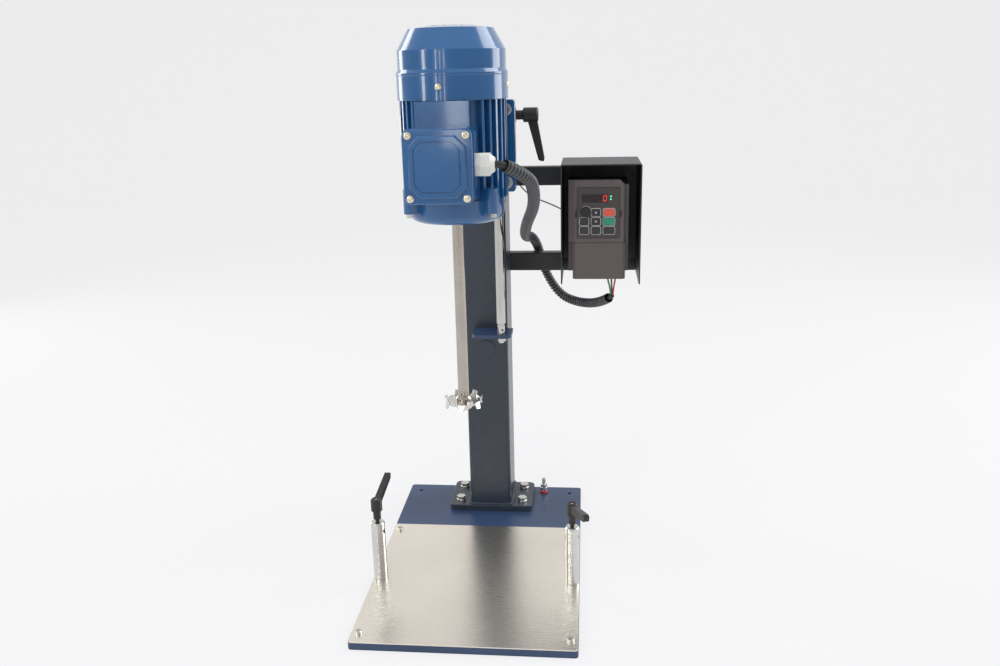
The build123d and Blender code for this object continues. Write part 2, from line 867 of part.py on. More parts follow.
# Stator core with its end windings
stator_bottom = motor_centre_height + stator_rise - stator_length / 2
with BuildPart() as stator:
    with BuildSketch(motor_level(stator_bottom)):
        Circle(housing_bore - seat_clearance)
        Circle(stator_bore, mode=Mode.SUBTRACT)
    extrude(amount=stator_length)
    with BuildSketch(motor_level(stator_bottom - winding_length)):
        Circle(housing_bore - winding_step)
        Circle(stator_bore + winding_step, mode=Mode.SUBTRACT)
    extrude(amount=stator_length + 2 * winding_length)
save(stator.part, "stator")

with BuildPart() as tie_bolts:
    with BuildSketch(motor_level(housing_bottom - shield_flange - tie_head_height)):
        with PolarLocations(tie_bolt_circle, 4, start_angle=45):
            RegularPolygon(tie_head_flats / 2, 6, major_radius=False)
    extrude(amount=tie_head_height)
    with BuildSketch(motor_level(housing_bottom - shield_flange)):
        with PolarLocations(tie_bolt_circle, 4, start_angle=45):
            Circle(tie_bolt_radius)
    extrude(amount=shield_flange + tie_ear_height - bolt_end_gap)
save(tie_bolts.part, "tie_bolts")

# Fan cowl: a deep-drawn cap with a bead, a sloping shoulder, a rounded crown and radial air slots in its top
def cowl_form(wall):
    """The solid of revolution inside the cowl's outer skin, drawn in by a wall"""
    with BuildPart() as form:
        with BuildSketch(motor_section) as outline:
            with BuildLine():
                Polyline(
                    (0, cowl_rim_height),
                    (cowl_rim_radius - wall, cowl_rim_height),
                    (cowl_rim_radius - wall, cowl_step_height - 1),
                    (cowl_bead_radius - wall, cowl_step_height),
                    (cowl_bead_radius - wall, cowl_bead_top - 4),
                    (cowl_body_radius - wall, cowl_bead_top),
                    (cowl_body_radius - wall, cowl_shoulder_height),
                    (cowl_crown_radius - wall, cowl_crown_height - wall / 2),
                    (cowl_top_radius, cowl_top_height - wall),
                    (0, cowl_top_height - wall),
                    (0, cowl_rim_height),
                )
            make_face()
            corners = outline.vertices().sort_by(Axis.Z)
            bead = [corner for corner in corners if cowl_bead_top - 5 < corner.Z < cowl_bead_top + 1]
            shoulder = [corner for corner in corners if abs(corner.Z - cowl_shoulder_height) < 0.1]
            crown = [corner for corner in corners if abs(corner.Z - cowl_crown_height + wall / 2) < 0.1]
            fillet(bead, cowl_bead_round)
            fillet(shoulder, cowl_shoulder_round - wall)
            fillet(crown, cowl_crown_round - wall)
        revolve(axis=motor_axis)
    return form.part


with BuildPart() as fan_cowl:
    add(cowl_form(0))
    add(cowl_form(cowl_wall), mode=Mode.SUBTRACT)
    with BuildSketch(motor_level(cowl_top_height + 1)):
        with PolarLocations((cowl_slot_inner + cowl_slot_outer) / 2, cowl_slot_count):
            SlotOverall(cowl_slot_outer - cowl_slot_inner, cowl_slot_width)
    extrude(amount=-(cowl_wall + 3), mode=Mode.SUBTRACT)
    for index in range(cowl_screw_count):
        turn = radians(cowl_screw_angle + index * 360 / cowl_screw_count)
        outward = Vector(cos(turn), sin(turn), 0)
        with BuildSketch(Plane((0, motor_y, cowl_screw_height), z_dir=outward).offset(cowl_rim_radius + 2)):
            Circle(cowl_screw_shank_radius + screw_clearance)
        extrude(amount=-5, mode=Mode.SUBTRACT)
save(fan_cowl.part, "fan_cowl")

# Terminal box, its lid, and the round-headed screws of the lid and the cowl
with BuildPart() as terminal_box:
    with BuildSketch(facing_front(motor_y - box_pad_reach)):
        with Locations((box_offset_x, box_centre_height)):
            RectangleRounded(box_width, box_height, box_corner)
    extrude(amount=box_depth)
    with BuildSketch(facing_front(box_front)):
        with Locations((box_offset_x, box_centre_height)):
            RectangleRounded(box_width - 2 * box_wall, box_height - 2 * box_wall, 20)
    extrude(amount=-(box_depth - box_wall), mode=Mode.SUBTRACT)
    with BuildSketch(facing_front(box_front)):
        with Locations((box_offset_x, box_centre_height)):
            with GridLocations(lid_screw_spacing_x, lid_screw_spacing_z, 2, 2):
                Circle(cowl_screw_shank_radius + tapped_clearance)
    extrude(amount=-12, mode=Mode.SUBTRACT)
    with BuildSketch(Plane((box_right, gland_y, box_centre_height), x_dir=(0, 1, 0), z_dir=(1, 0, 0))):
        Circle(gland_thread_radius + tapped_clearance)
    extrude(amount=-box_wall, mode=Mode.SUBTRACT)
save(terminal_box.part, "terminal_box")

with BuildPart() as terminal_box_lid:
    with BuildSketch(facing_front(box_front)):
        with Locations((box_offset_x, box_centre_height)):
            RectangleRounded(lid_width, lid_height, box_corner)
            with GridLocations(lid_screw_spacing_x, lid_screw_spacing_z, 2, 2):
                Circle(cowl_screw_shank_radius + screw_clearance, mode=Mode.SUBTRACT)
    extrude(amount=lid_thickness)
    fillet(terminal_box_lid.faces().sort_by(Axis.Y)[0].outer_wire().edges(), 1.5)
    panel_width = lid_width - 2 * lid_panel_margin
    panel_height = lid_height - 2 * lid_panel_margin
    with BuildSketch(facing_front(lid_front)) as panel:
        with Locations((box_offset_x, box_centre_height)):
            Rectangle(panel_width, panel_height)
        chamfer(panel.vertices(), lid_panel_cut)
    extrude(amount=lid_panel_height)
    chamfer(terminal_box_lid.faces().sort_by(Axis.Y)[0].edges(), lid_panel_height / 2)
    with BuildSketch(facing_front(lid_front - lid_panel_height)) as groove:
        with Locations((box_offset_x, box_centre_height)):
            Rectangle(panel_width - 12, panel_height - 12)
        chamfer(groove.vertices(), lid_panel_cut - 3)
        offset(amount=-lid_groove, mode=Mode.SUBTRACT)
    extrude(amount=-lid_groove / 2, mode=Mode.SUBTRACT)
save(terminal_box_lid.part, "terminal_box_lid")


def round_head_screw(place, head_radius, head_height, shank_length):
    """A round-headed screw with a cross recess. Its head sits on the plane and stands along the normal."""
    with BuildPart() as screw:
        with BuildSketch(place):
            Circle(head_radius)
        extrude(amount=head_height)
        with BuildSketch(place):
            Circle(cowl_screw_shank_radius)
        extrude(amount=-shank_length)
        with BuildSketch(place.offset(head_height)):
            Rectangle(head_radius, head_radius / 4)
            Rectangle(head_radius / 4, head_radius)
        extrude(amount=-head_height / 2, mode=Mode.SUBTRACT)
    return screw.part


with BuildPart() as cover_screws:
    for x, z in corners(lid_screw_spacing_x, lid_screw_spacing_z, box_offset_x, box_centre_height):
        lid_place = Plane((x, lid_front, z), x_dir=(1, 0, 0), z_dir=(0, -1, 0))
        lid_shank = lid_thickness + lid_screw_grip
        add(round_head_screw(lid_place, lid_screw_head_radius, lid_screw_head_height, lid_shank))
    for index in range(cowl_screw_count):
        turn = radians(cowl_screw_angle + index * 360 / cowl_screw_count)
        outward = Vector(cos(turn), sin(turn), 0)
        cowl_place = Plane((0, motor_y, cowl_screw_height), z_dir=outward).offset(cowl_rim_radius)
        add(round_head_screw(cowl_place, cowl_screw_head_radius, cowl_screw_head_height, cowl_screw_length))
save(cover_screws.part, "cover_screws")

# Cable gland: a flanged hexagon, a hexagon nut and a dome
gland_place = Plane((box_right, gland_y, box_centre_height), x_dir=(0, 1, 0), z_dir=(1, 0, 0))
gland_end = gland_base_length + gland_nut_length + gland_dome_length
with BuildPart() as cable_gland:
    with BuildSketch(gland_place):
        RegularPolygon(gland_flats / 2, 6, major_radius=False)
    extrude(amount=gland_base_length)
    with BuildSketch(gland_place.offset(gland_base_length)):
        RegularPolygon(gland_nut_flats / 2, 6, major_radius=False, rotation=8)
    extrude(amount=gland_nut_length)
    with BuildSketch(gland_place.offset(gland_base_length + gland_nut_length)):
        Circle(gland_nut_flats / 2 - 0.5)
    extrude(amount=gland_dome_length, taper=32)
    with BuildSketch(gland_place):
        Circle(gland_thread_radius)
    extrude(amount=-(box_wall + 6))
    with BuildSketch(gland_place.offset(gland_end)):
        Circle(motor_cable_radius + running_clearance)
    extrude(amount=-(gland_end + box_wall + 6), mode=Mode.SUBTRACT)
save(cable_gland.part, "cable_gland")

# Bolts that hold the motor's feet to the carriage
with BuildPart() as foot_bolts:
    for bolt_x, bolt_z in corners(motor_foot_spacing_x, motor_foot_spacing_z, 0, motor_centre_height):
        bolt_place = Plane((bolt_x, motor_foot_front, bolt_z), x_dir=(1, 0, 0), z_dir=(0, -1, 0))
        with BuildSketch(bolt_place):
            Circle(washer_radius)
        extrude(amount=washer_thickness)
        with BuildSketch(bolt_place.offset(washer_thickness)):
            RegularPolygon(bolt_head_flats / 2, 6, major_radius=False)
        extrude(amount=bolt_head_height)
        with BuildSketch(bolt_place):
            Circle(bolt_radius)
        extrude(amount=-(motor_foot_thickness + motor_plate_thickness - bolt_end_gap))
save(foot_bolts.part, "foot_bolts")

# Shaft with its bearing seats, hub and threaded end
disc_top = disc_height + disc_thickness / 2
disc_bottom = disc_height - disc_thickness / 2
shaft_end = disc_bottom - shaft_stud_length
with BuildPart() as motor_shaft:
    with BuildSketch(motor_section):
        with BuildLine():
            Polyline(
                (0, shaft_end),
                (disc_stud_radius - 0.7, shaft_end),
                (disc_stud_radius, shaft_end + 0.7),
                (disc_stud_radius, disc_top),
                (hub_collar_radius, disc_top),
                (hub_collar_radius, disc_top + hub_collar_height / 2),
                (shaft_radius + 1.5, disc_top + hub_collar_height),
                (shaft_radius, disc_top + hub_collar_height),
                (shaft_radius, lower_bearing_bottom - 1),
                (shaft_seat_radius, lower_bearing_bottom - 1),
                (shaft_seat_radius, lower_bearing_bottom + bearing_width + 1),
                (shaft_core_radius, lower_bearing_bottom + bearing_width + 1),
                (shaft_core_radius, upper_bearing_bottom - 1),
                (shaft_seat_radius, upper_bearing_bottom - 1),
                (shaft_seat_radius, upper_bearing_bottom + bearing_width + 1),
                (shaft_fan_radius, upper_bearing_bottom + bearing_width + 1),
                (shaft_fan_radius, shaft_top),
                (0, shaft_top),
                (0, shaft_end),
            )
        make_face()
    revolve(axis=motor_axis)
save(motor_shaft.part, "motor_shaft")

with BuildPart() as rotor_core:
    with BuildSketch(motor_level(stator_bottom)):
        Circle(rotor_radius)
        Circle(shaft_core_radius + seat_clearance, mode=Mode.SUBTRACT)
    extrude(amount=stator_length)
save(rotor_core.part, "rotor_core")

with BuildPart() as cooling_fan:
    with BuildSketch(motor_level(fan_bottom)):
        Circle(fan_radius)
    extrude(amount=fan_disc_thickness)
    with BuildSketch(motor_level(fan_bottom)):
        Circle(fan_hub_radius)
        with PolarLocations((fan_radius + fan_hub_radius) / 2 - 2, fan_blade_count):
            Rectangle(fan_radius - fan_hub_radius, fan_blade_thickness)
    extrude(amount=fan_height)
    with BuildSketch(motor_level(fan_bottom)):
        Circle(shaft_fan_radius + seat_clearance)
    extrude(amount=fan_height, mode=Mode.SUBTRACT)
save(cooling_fan.part, "cooling_fan")


# Dispersing disc: a flat plate whose saw teeth are bent up and down in turn
def saw_tooth(side):
    """One bent tooth on the plate's edge at angle 0, leaning outward. side is 1 for up and -1 for down."""
    lean = radians(tooth_lean)
    outward = Vector(cos(lean), 0, -side * sin(lean))
    place = Plane((disc_plate_radius - disc_thickness, motor_y, disc_height), x_dir=(0, 1, 0), z_dir=outward)
    way = side if place.y_dir.Z > 0 else -side
    with BuildPart() as tooth:
        with BuildSketch(place):
            with BuildLine():
                Polyline(
                    (-tooth_width / 2, -way * disc_thickness / 2),
                    (tooth_width / 2, -way * disc_thickness / 2),
                    (tooth_width / 2 - tooth_skew, way * tooth_height),
                    (-tooth_width / 2 + tooth_skew / 3, way * (tooth_height - 1)),
                    (-tooth_width / 2, -way * disc_thickness / 2),
                )
            make_face()
        extrude(amount=disc_thickness)
    return Pos(0, -motor_y, 0) * tooth.part


up_tooth = saw_tooth(1)
down_tooth = saw_tooth(-1)
with BuildPart(Plane((0, motor_y, 0))) as dispersing_disc:
    with PolarLocations(0, tooth_count // 2):
        add(up_tooth)
    with PolarLocations(0, tooth_count // 2, start_angle=360 / tooth_count):
        add(down_tooth)
    with BuildSketch(motor_level(disc_bottom)):
        Circle(disc_plate_radius)
    extrude(amount=disc_thickness)
    with BuildSketch(motor_level(disc_bottom)):
        Circle(disc_stud_radius + seat_clearance)
    extrude(amount=disc_thickness, mode=Mode.SUBTRACT)
save(dispersing_disc.part, "dispersing_disc")

with BuildPart() as disc_nut:
    with BuildSketch(motor_level(disc_bottom)):
        Circle(hub_collar_radius)
    extrude(amount=-1.5)
    with BuildSketch(motor_level(disc_bottom - 1.5)):
        RegularPolygon(disc_nut_flats / 2, 6, major_radius=False)
    extrude(amount=-disc_nut_height)
    with BuildSketch(motor_level(disc_bottom)):
        Circle(disc_stud_radius + seat_clearance)
    extrude(amount=-(disc_nut_height + 1.5), mode=Mode.SUBTRACT)
save(disc_nut.part, "disc_nut")

# Carriage saddle round the column, open at the back, with a threaded boss for the lock lever
saddle_centre_y = (saddle_front + saddle_back) / 2
saddle_depth = saddle_back - saddle_front
lock_x = saddle_outer + lock_boss_length
lock_place = Plane((lock_x, column_y, lock_height), x_dir=(0, 0, -1), z_dir=(1, 0, 0))
with BuildPart() as carriage_saddle:
    with BuildSketch(Plane.XY.offset(saddle_bottom)):
        with Locations((0, saddle_centre_y)):
            RectangleRounded(2 * saddle_outer, saddle_depth, saddle_wall)
            Rectangle(2 * saddle_inner, saddle_depth - 2 * saddle_wall, mode=Mode.SUBTRACT)
        with Locations((0, saddle_back - saddle_wall / 2)):
            Rectangle(saddle_slot, saddle_wall, mode=Mode.SUBTRACT)
    extrude(amount=saddle_height)
    with BuildSketch(lock_place):
        Circle(lock_boss_radius)
    extrude(amount=-(lock_boss_length + saddle_wall / 2))
    with BuildSketch(lock_place):
        Circle(lock_stud_radius + running_clearance)
    extrude(amount=-(lock_boss_length + saddle_wall), mode=Mode.SUBTRACT)
save(carriage_saddle.part, "carriage_saddle")

lock_lever = clamp_lever(
    lock_place,
    stud_radius=lock_stud_radius,
    stud_inside=lock_boss_length + saddle_wall - slide_clearance,
    stud_outside=lock_neck_gap,
    neck=(lock_neck_radius, lock_neck_length),
    hub=(lock_hub_radius, lock_hub_length),
    handle=(lock_handle_reach, lock_handle_rise),
    thickness=lock_handle_thickness,
)
save(lock_lever, "lock_lever")

# Slide pads between saddle and column: front, sides and the two rear lips, at two levels
pad_thickness = saddle_gap - slide_clearance
rear_pad_x = (saddle_slot / 2 + column_half) / 2
with BuildPart() as slide_pads:
    for level in (saddle_bottom + 4, saddle_top - 4 - pad_height):
        with BuildSketch(Plane.XY.offset(level)):
            with Locations((0, column_front - saddle_gap + pad_thickness / 2)):
                Rectangle(column_width - 2 * pad_edge, pad_thickness)
            for way in (-1, 1):
                with Locations((way * (saddle_inner - pad_thickness / 2), column_y)):
                    Rectangle(pad_thickness, column_depth - 2 * pad_edge)
                with Locations((way * rear_pad_x, column_back + saddle_gap - pad_thickness / 2)):
                    Rectangle(column_half - saddle_slot / 2 - 2, pad_thickness)
        extrude(amount=pad_height)
save(slide_pads.part, "slide_pads")

# Arm from the saddle to the plate that carries the motor's feet
arm_centre_height = saddle_bottom + saddle_height / 2 + 6
with BuildPart() as carriage_arm:
    with BuildSketch(facing_front(saddle_front)):
        with Locations((0, arm_centre_height)):
            RectangleRounded(arm_width, arm_height, arm_wall)
            Rectangle(arm_width - 2 * arm_wall, arm_height - 2 * arm_wall, mode=Mode.SUBTRACT)
    extrude(amount=saddle_front - motor_plate_back)
    with BuildSketch(facing_front(motor_foot_face)):
        with Locations((0, motor_centre_height)):
            RectangleRounded(motor_foot_width, motor_foot_length, 4)
            with GridLocations(motor_foot_spacing_x, motor_foot_spacing_z, 2, 2):
                Circle(bolt_radius + tapped_clearance, mode=Mode.SUBTRACT)
    extrude(amount=-motor_plate_thickness)
save(carriage_arm.part, "carriage_arm")

# Shelf on the column, and the gas spring that stands on it
spring_axis = Axis((spring_x, spring_y, 0), (0, 0, 1))
spring_section = Plane((spring_x, spring_y, 0), x_dir=(1, 0, 0), z_dir=(0, -1, 0))
shelf_bottom = shelf_top - shelf_thickness
with BuildPart() as spring_shelf:
    with BuildSketch(Plane.XY.offset(shelf_bottom)):
        with Locations(((shelf_left + shelf_right) / 2, column_front - shelf_depth / 2)):
            Rectangle(shelf_right - shelf_left, shelf_depth)
    extrude(amount=shelf_thickness)
    fillet(spring_shelf.edges().filter_by(Axis.Z).group_by(Axis.Y)[0], shelf_depth - spring_reach)
    with BuildSketch(Plane.XY.offset(shelf_bottom)):
        with Locations((spring_x, spring_y)):
            Circle(spring_stud_radius + screw_clearance)
    extrude(amount=shelf_thickness, mode=Mode.SUBTRACT)
save(spring_shelf.part, "spring_shelf")

groove_bottom = shelf_top + spring_fitting_height
tube_bottom = groove_bottom + spring_groove_height
tube_bore = spring_tube_radius - spring_tube_wall
guide_bottom = spring_tube_top - spring_guide_length
with BuildPart() as gas_spring_tube:
    with BuildSketch(spring_section):
        with BuildLine():
            Polyline(
                (0, shelf_bottom - spring_nut_height - 3),
                (spring_stud_radius, shelf_bottom - spring_nut_height - 3),
                (spring_stud_radius, shelf_top),
                (spring_fitting_radius, shelf_top),
                (spring_fitting_radius, groove_bottom),
                (spring_fitting_radius - spring_groove_depth, groove_bottom),
                (spring_fitting_radius - spring_groove_depth, tube_bottom),
                (spring_tube_radius, tube_bottom),
                (spring_tube_radius, spring_tube_top - 1),
                (spring_tube_radius - 1, spring_tube_top),
                (spring_rod_radius + running_clearance, spring_tube_top),
                (spring_rod_radius + running_clearance, guide_bottom),
                (tube_bore, guide_bottom),
                (tube_bore, tube_bottom + 5),
                (0, tube_bottom + 5),
                (0, shelf_bottom - spring_nut_height - 3),
            )
        make_face()
    revolve(axis=spring_axis)
    with BuildSketch(Plane.XY.offset(shelf_bottom)):
        with Locations((spring_x, spring_y)):
            RegularPolygon(spring_nut_flats / 2, 6, major_radius=False)
    extrude(amount=-spring_nut_height)
    with BuildSketch(Plane((spring_x, spring_y, shelf_top + spring_fitting_height / 2), z_dir=(0.5, -1, 0))):
        Circle(spring_cross_hole)
    extrude(amount=spring_fitting_radius + 1, both=True, mode=Mode.SUBTRACT)
save(gas_spring_tube.part, "gas_spring_tube")

lug_top = spring_lug_height + spring_lug_thickness
piston_bottom = tube_bottom + 10 + carriage_travel
with BuildPart() as gas_spring_rod:
    with BuildSketch(Plane.XY.offset(piston_bottom)):
        with Locations((spring_x, spring_y)):
            Circle(tube_bore - running_clearance)
    extrude(amount=8)
    with BuildSketch(Plane.XY.offset(piston_bottom)):
        with Locations((spring_x, spring_y)):
            Circle(spring_rod_radius)
    extrude(amount=lug_top + spring_rod_nut_height + 3 - piston_bottom)
    for nut_bottom in (spring_lug_height - spring_rod_nut_height, lug_top):
        with BuildSketch(Plane.XY.offset(nut_bottom)):
            with Locations((spring_x, spring_y)):
                RegularPolygon(spring_rod_nut_flats / 2, 6, major_radius=False)
        extrude(amount=spring_rod_nut_height)
save(gas_spring_rod.part, "gas_spring_rod")

lug_centre_x = (spring_lug_left + spring_lug_right) / 2
lug_width = spring_lug_right - spring_lug_left
lug_front = spring_y - (shelf_depth - spring_reach)
bracket_bottom = saddle_top - spring_bracket_overlap
with BuildPart() as gas_spring_bracket:
    with BuildSketch(facing_front(saddle_front)):
        with Locations((lug_centre_x, (bracket_bottom + lug_top) / 2)):
            Rectangle(lug_width, lug_top - bracket_bottom)
    extrude(amount=spring_lug_thickness)
    with BuildSketch(Plane.XY.offset(spring_lug_height)):
        with Locations((lug_centre_x, (lug_front + saddle_front) / 2)):
            Rectangle(lug_width, saddle_front - lug_front)
        with Locations((spring_x, spring_y)):
            Circle(spring_rod_radius + screw_clearance, mode=Mode.SUBTRACT)
    extrude(amount=spring_lug_thickness)
save(gas_spring_bracket.part, "gas_spring_bracket")

# Speed drive: two arms behind the column, the hood, and the drive in it
arm_length = hood_right - hood_sheet - drive_arm_left
with BuildPart() as drive_arms:
    for height in (upper_arm_height, lower_arm_height):
        with BuildSketch(Plane((drive_arm_left, drive_arm_y, height), x_dir=(0, 1, 0), z_dir=(1, 0, 0))):
            RectangleRounded(drive_arm_depth, drive_arm_height, drive_arm_wall)
            Rectangle(
                drive_arm_depth - 2 * drive_arm_wall,
                drive_arm_height - 2 * drive_arm_wall,
                mode=Mode.SUBTRACT,
            )
        extrude(amount=arm_length)
        with BuildSketch(facing_front(drive_arm_front)):
            with Locations((0, height)):
                Rectangle(spacer_width, spacer_height)
        extrude(amount=arm_gap)
    for height in (upper_arm_height, lower_arm_height):
        for screw_x in (hood_left + hood_screw_inset, hood_right - hood_screw_inset):
            with BuildSketch(facing_front(drive_arm_front)):
                with Locations((screw_x, height)):
                    Circle(hood_screw_radius + tapped_clearance)
            extrude(amount=-drive_arm_wall, mode=Mode.SUBTRACT)
save(drive_arms.part, "drive_arms")

hood_centre_x = (hood_left + hood_right) / 2
hood_height = hood_top - hood_bottom
hood_screw_points = [
    (x, height)
    for x in (hood_left + hood_screw_inset, hood_right - hood_screw_inset)
    for height in (upper_arm_height, lower_arm_height)
]
with BuildPart() as drive_hood:
    with BuildSketch(facing_front(hood_back)):
        with Locations((hood_centre_x, hood_bottom + hood_height / 2)):
            Rectangle(hood_width, hood_height)
    extrude(amount=hood_back - hood_front)
    fillet(drive_hood.edges().filter_by(Axis.Y).group_by(Axis.Z)[-1], 3)
    with BuildSketch(facing_front(hood_back - hood_sheet)):
        with Locations((hood_centre_x, hood_bottom + (hood_height - hood_sheet) / 2)):
            Rectangle(hood_width - 2 * hood_sheet, hood_height - hood_sheet)
    extrude(amount=hood_back - hood_sheet - hood_front, mode=Mode.SUBTRACT)
    with BuildSketch(facing_front(hood_back)):
        with Locations(*hood_screw_points):
            Circle(hood_screw_radius + screw_clearance)
    extrude(amount=hood_sheet, mode=Mode.SUBTRACT)
save(drive_hood.part, "drive_hood")

with BuildPart() as hood_screws:
    with BuildSketch(facing_front(hood_back - hood_sheet)):
        with Locations(*hood_screw_points):
            Circle(hood_screw_head_radius)
    extrude(amount=hood_screw_head_height)
    with BuildSketch(facing_front(hood_back - hood_sheet)):
        with Locations(*hood_screw_points):
            Circle(hood_screw_radius)
    extrude(amount=-(hood_sheet + drive_arm_wall + 4))
save(hood_screws.part, "hood_screws")

drive_back = hood_back - hood_sheet
drive_shell_back = drive_front + drive_shell_depth
drive_centre_x = drive_left + drive_width / 2
with BuildPart() as drive_body:
    with BuildSketch(facing_front(drive_back)):
        with Locations((drive_centre_x, (drive_bottom + drive_top) / 2)):
            Rectangle(drive_width, drive_top - drive_bottom)
    extrude(amount=drive_back - drive_shell_back)
    with BuildSketch(Plane.XY.offset(drive_bottom)):
        with Locations((drive_centre_x, drive_back - drive_fin_depth - drive_fin_length / 2)):
            with GridLocations(drive_width / (drive_fin_count + 1), 1, drive_fin_count, 1):
                Rectangle(drive_fin_gap, drive_fin_length)
    extrude(amount=drive_top - drive_bottom, mode=Mode.SUBTRACT)
save(drive_body.part, "drive_body")

pocket_width = keypad_width + 2 * keypad_clearance
pocket_height = keypad_height + 2 * keypad_clearance
keypad_centre = (keypad_left + keypad_width / 2, keypad_bottom + keypad_height / 2)
with BuildPart() as drive_cover:
    with BuildSketch(facing_front(drive_shell_back)):
        with Locations((drive_left + cover_width / 2, (cover_bottom + cover_top) / 2)):
            Rectangle(cover_width, cover_top - cover_bottom)
    extrude(amount=drive_shell_depth)
    side_edge = drive_cover.edges().filter_by(Axis.Z).group_by(Axis.Y)[0].sort_by(Axis.X)
    chamfer(side_edge[0], cover_bevel, cover_bevel_depth, reference=drive_cover.faces().sort_by(Axis.Y)[0])
    top_edges = drive_cover.edges().filter_by(Axis.Y).group_by(Axis.Z)[-1]
    chamfer(top_edges.sort_by(Axis.X)[-1], cover_corner_cut)
    with BuildSketch(facing_front(drive_front)):
        with Locations(keypad_centre):
            Rectangle(pocket_width, pocket_height)
    extrude(amount=-keypad_thickness, mode=Mode.SUBTRACT)
    with BuildSketch(facing_front(drive_front)):
        for way in (-1, 1):
            with Locations((keypad_centre[0] + way * (pocket_width + latch_width) / 2, latch_centre)):
                Rectangle(latch_width, latch_height)
    extrude(amount=-keypad_thickness / 2, mode=Mode.SUBTRACT)
save(drive_cover.part, "drive_cover")

terminal_top = cover_bottom - cover_joint
terminal_centre_x = terminal_cover_left + terminal_cover_width / 2
with BuildPart() as terminal_cover:
    with BuildSketch(facing_front(drive_shell_back)):
        with Locations((terminal_centre_x, (terminal_cover_bottom + terminal_top) / 2)):
            Rectangle(terminal_cover_width, terminal_top - terminal_cover_bottom)
    extrude(amount=drive_shell_depth)
    cover_edges = terminal_cover.edges().filter_by(Axis.Z).group_by(Axis.Y)[0]
    chamfer(cover_edges, cover_bevel_depth / 2)
save(terminal_cover.part, "terminal_cover")

# Keypad with pockets for its keys, window and knob
keypad_front = drive_front + keypad_proud
pocket_floor = keypad_front + key_pocket
keys = {
    "key_up": (key_columns[1], key_rows[0], key_widths[1]),
    "key_stop": (key_columns[2], key_rows[0], key_widths[2]),
    "key_program": (key_columns[0], key_rows[1], key_widths[0]),
    "key_down": (key_columns[1], key_rows[1], key_widths[1]),
    "key_run": (key_columns[2], key_rows[1], key_widths[2]),
    "key_escape": (key_columns[0], key_rows[2], key_widths[0]),
    "key_shift": (key_columns[1], key_rows[2], key_widths[1]),
    "key_jog": (key_columns[2], key_rows[2], key_widths[2]),
}
with BuildPart() as keypad:
    with BuildSketch(facing_front(drive_front + keypad_thickness)):
        with Locations(keypad_centre):
            Rectangle(keypad_width, keypad_height)
    extrude(amount=keypad_thickness - (keypad_front - drive_front))
    with BuildSketch(facing_front(keypad_front)):
        for key_x, key_z, key_width in keys.values():
            with Locations((key_x, key_z)):
                RectangleRounded(key_width + 2 * key_gap, key_height + 2 * key_gap, key_corner + key_gap)
        with Locations((knob_x, knob_height)):
            Circle(knob_radius + key_gap)
    extrude(amount=-key_pocket, mode=Mode.SUBTRACT)
    with BuildSketch(facing_front(keypad_front)):
        with Locations((display_left + display_width / 2, display_bottom + display_height / 2)):
            Rectangle(display_width, display_height)
    extrude(amount=-display_thickness, mode=Mode.SUBTRACT)
    with BuildSketch(facing_front(pocket_floor)):
        with Locations((knob_x, knob_height)):
            Circle(knob_spindle_radius + running_clearance)
    extrude(amount=-(knob_spindle_length + key_stop_gap), mode=Mode.SUBTRACT)
save(keypad.part, "keypad")

with BuildPart() as display_window:
    with BuildSketch(facing_front(keypad_front + display_thickness)):
        with Locations((display_left + display_width / 2, display_bottom + display_height / 2)):
            Rectangle(display_width, display_height)
    extrude(amount=display_thickness)
save(display_window.part, "display_window")

knob_back = pocket_floor - key_gap
with BuildPart() as speed_knob:
    with BuildSketch(facing_front(knob_back)):
        with Locations((knob_x, knob_height)):
            Circle(knob_radius)
    extrude(amount=knob_length)
    chamfer(speed_knob.faces().sort_by(Axis.Y)[0].edges(), knob_bevel)
    with BuildSketch(facing_front(knob_back - knob_length)):
        with Locations((knob_x, knob_height + knob_radius / 2)):
            Rectangle(knob_groove, knob_radius)
    extrude(amount=-knob_groove / 2, mode=Mode.SUBTRACT)
    with BuildSketch(facing_front(knob_back)):
        with Locations((knob_x, knob_height)):
            Circle(knob_spindle_radius)
    extrude(amount=-(key_gap + knob_spindle_length))
save(speed_knob.part, "speed_knob")

key_back = pocket_floor - key_travel - key_stop_gap
for key_name, (key_x, key_z, key_width) in keys.items():
    with BuildPart() as key:
        with BuildSketch(facing_front(key_back)):
            with Locations((key_x, key_z)):
                RectangleRounded(key_width, key_height, key_corner)
        extrude(amount=key_back - keypad_front + key_proud)
        chamfer(key.faces().sort_by(Axis.Y)[0].edges(), key_bevel)
    save(key.part, key_name)


# Flexible cables: straight runs joined by arcs as large as the runs allow
def bend_radii(route):
    """0.45 of the shorter run at each corner, divided by the tangent of half the turn."""
    radii = []
    for before, corner, after in zip(route, route[1:], route[2:]):
        run_in = Vector(*corner) - Vector(*before)
        run_out = Vector(*after) - Vector(*corner)
        half_turn = radians(run_in.get_angle(run_out)) / 2
        radii.append(0.45 * min(run_in.length, run_out.length) / tan(half_turn))
    return radii


def flexible(name, route, radius):
    """A round cable along a route of hand-chosen points. Its bend radii are printed."""
    radii = bend_radii(route)
    print(name, "bend radii", [round(r, 1) for r in radii])
    with BuildPart() as cable:
        with BuildLine() as path:
            FilletPolyline(*route, radius=radii)
        way = Vector(*route[1]) - Vector(*route[0])
        with BuildSketch(Plane(route[0], z_dir=way)):
            Circle(radius)
        sweep()
    return cable.part, path.wires()[0].length


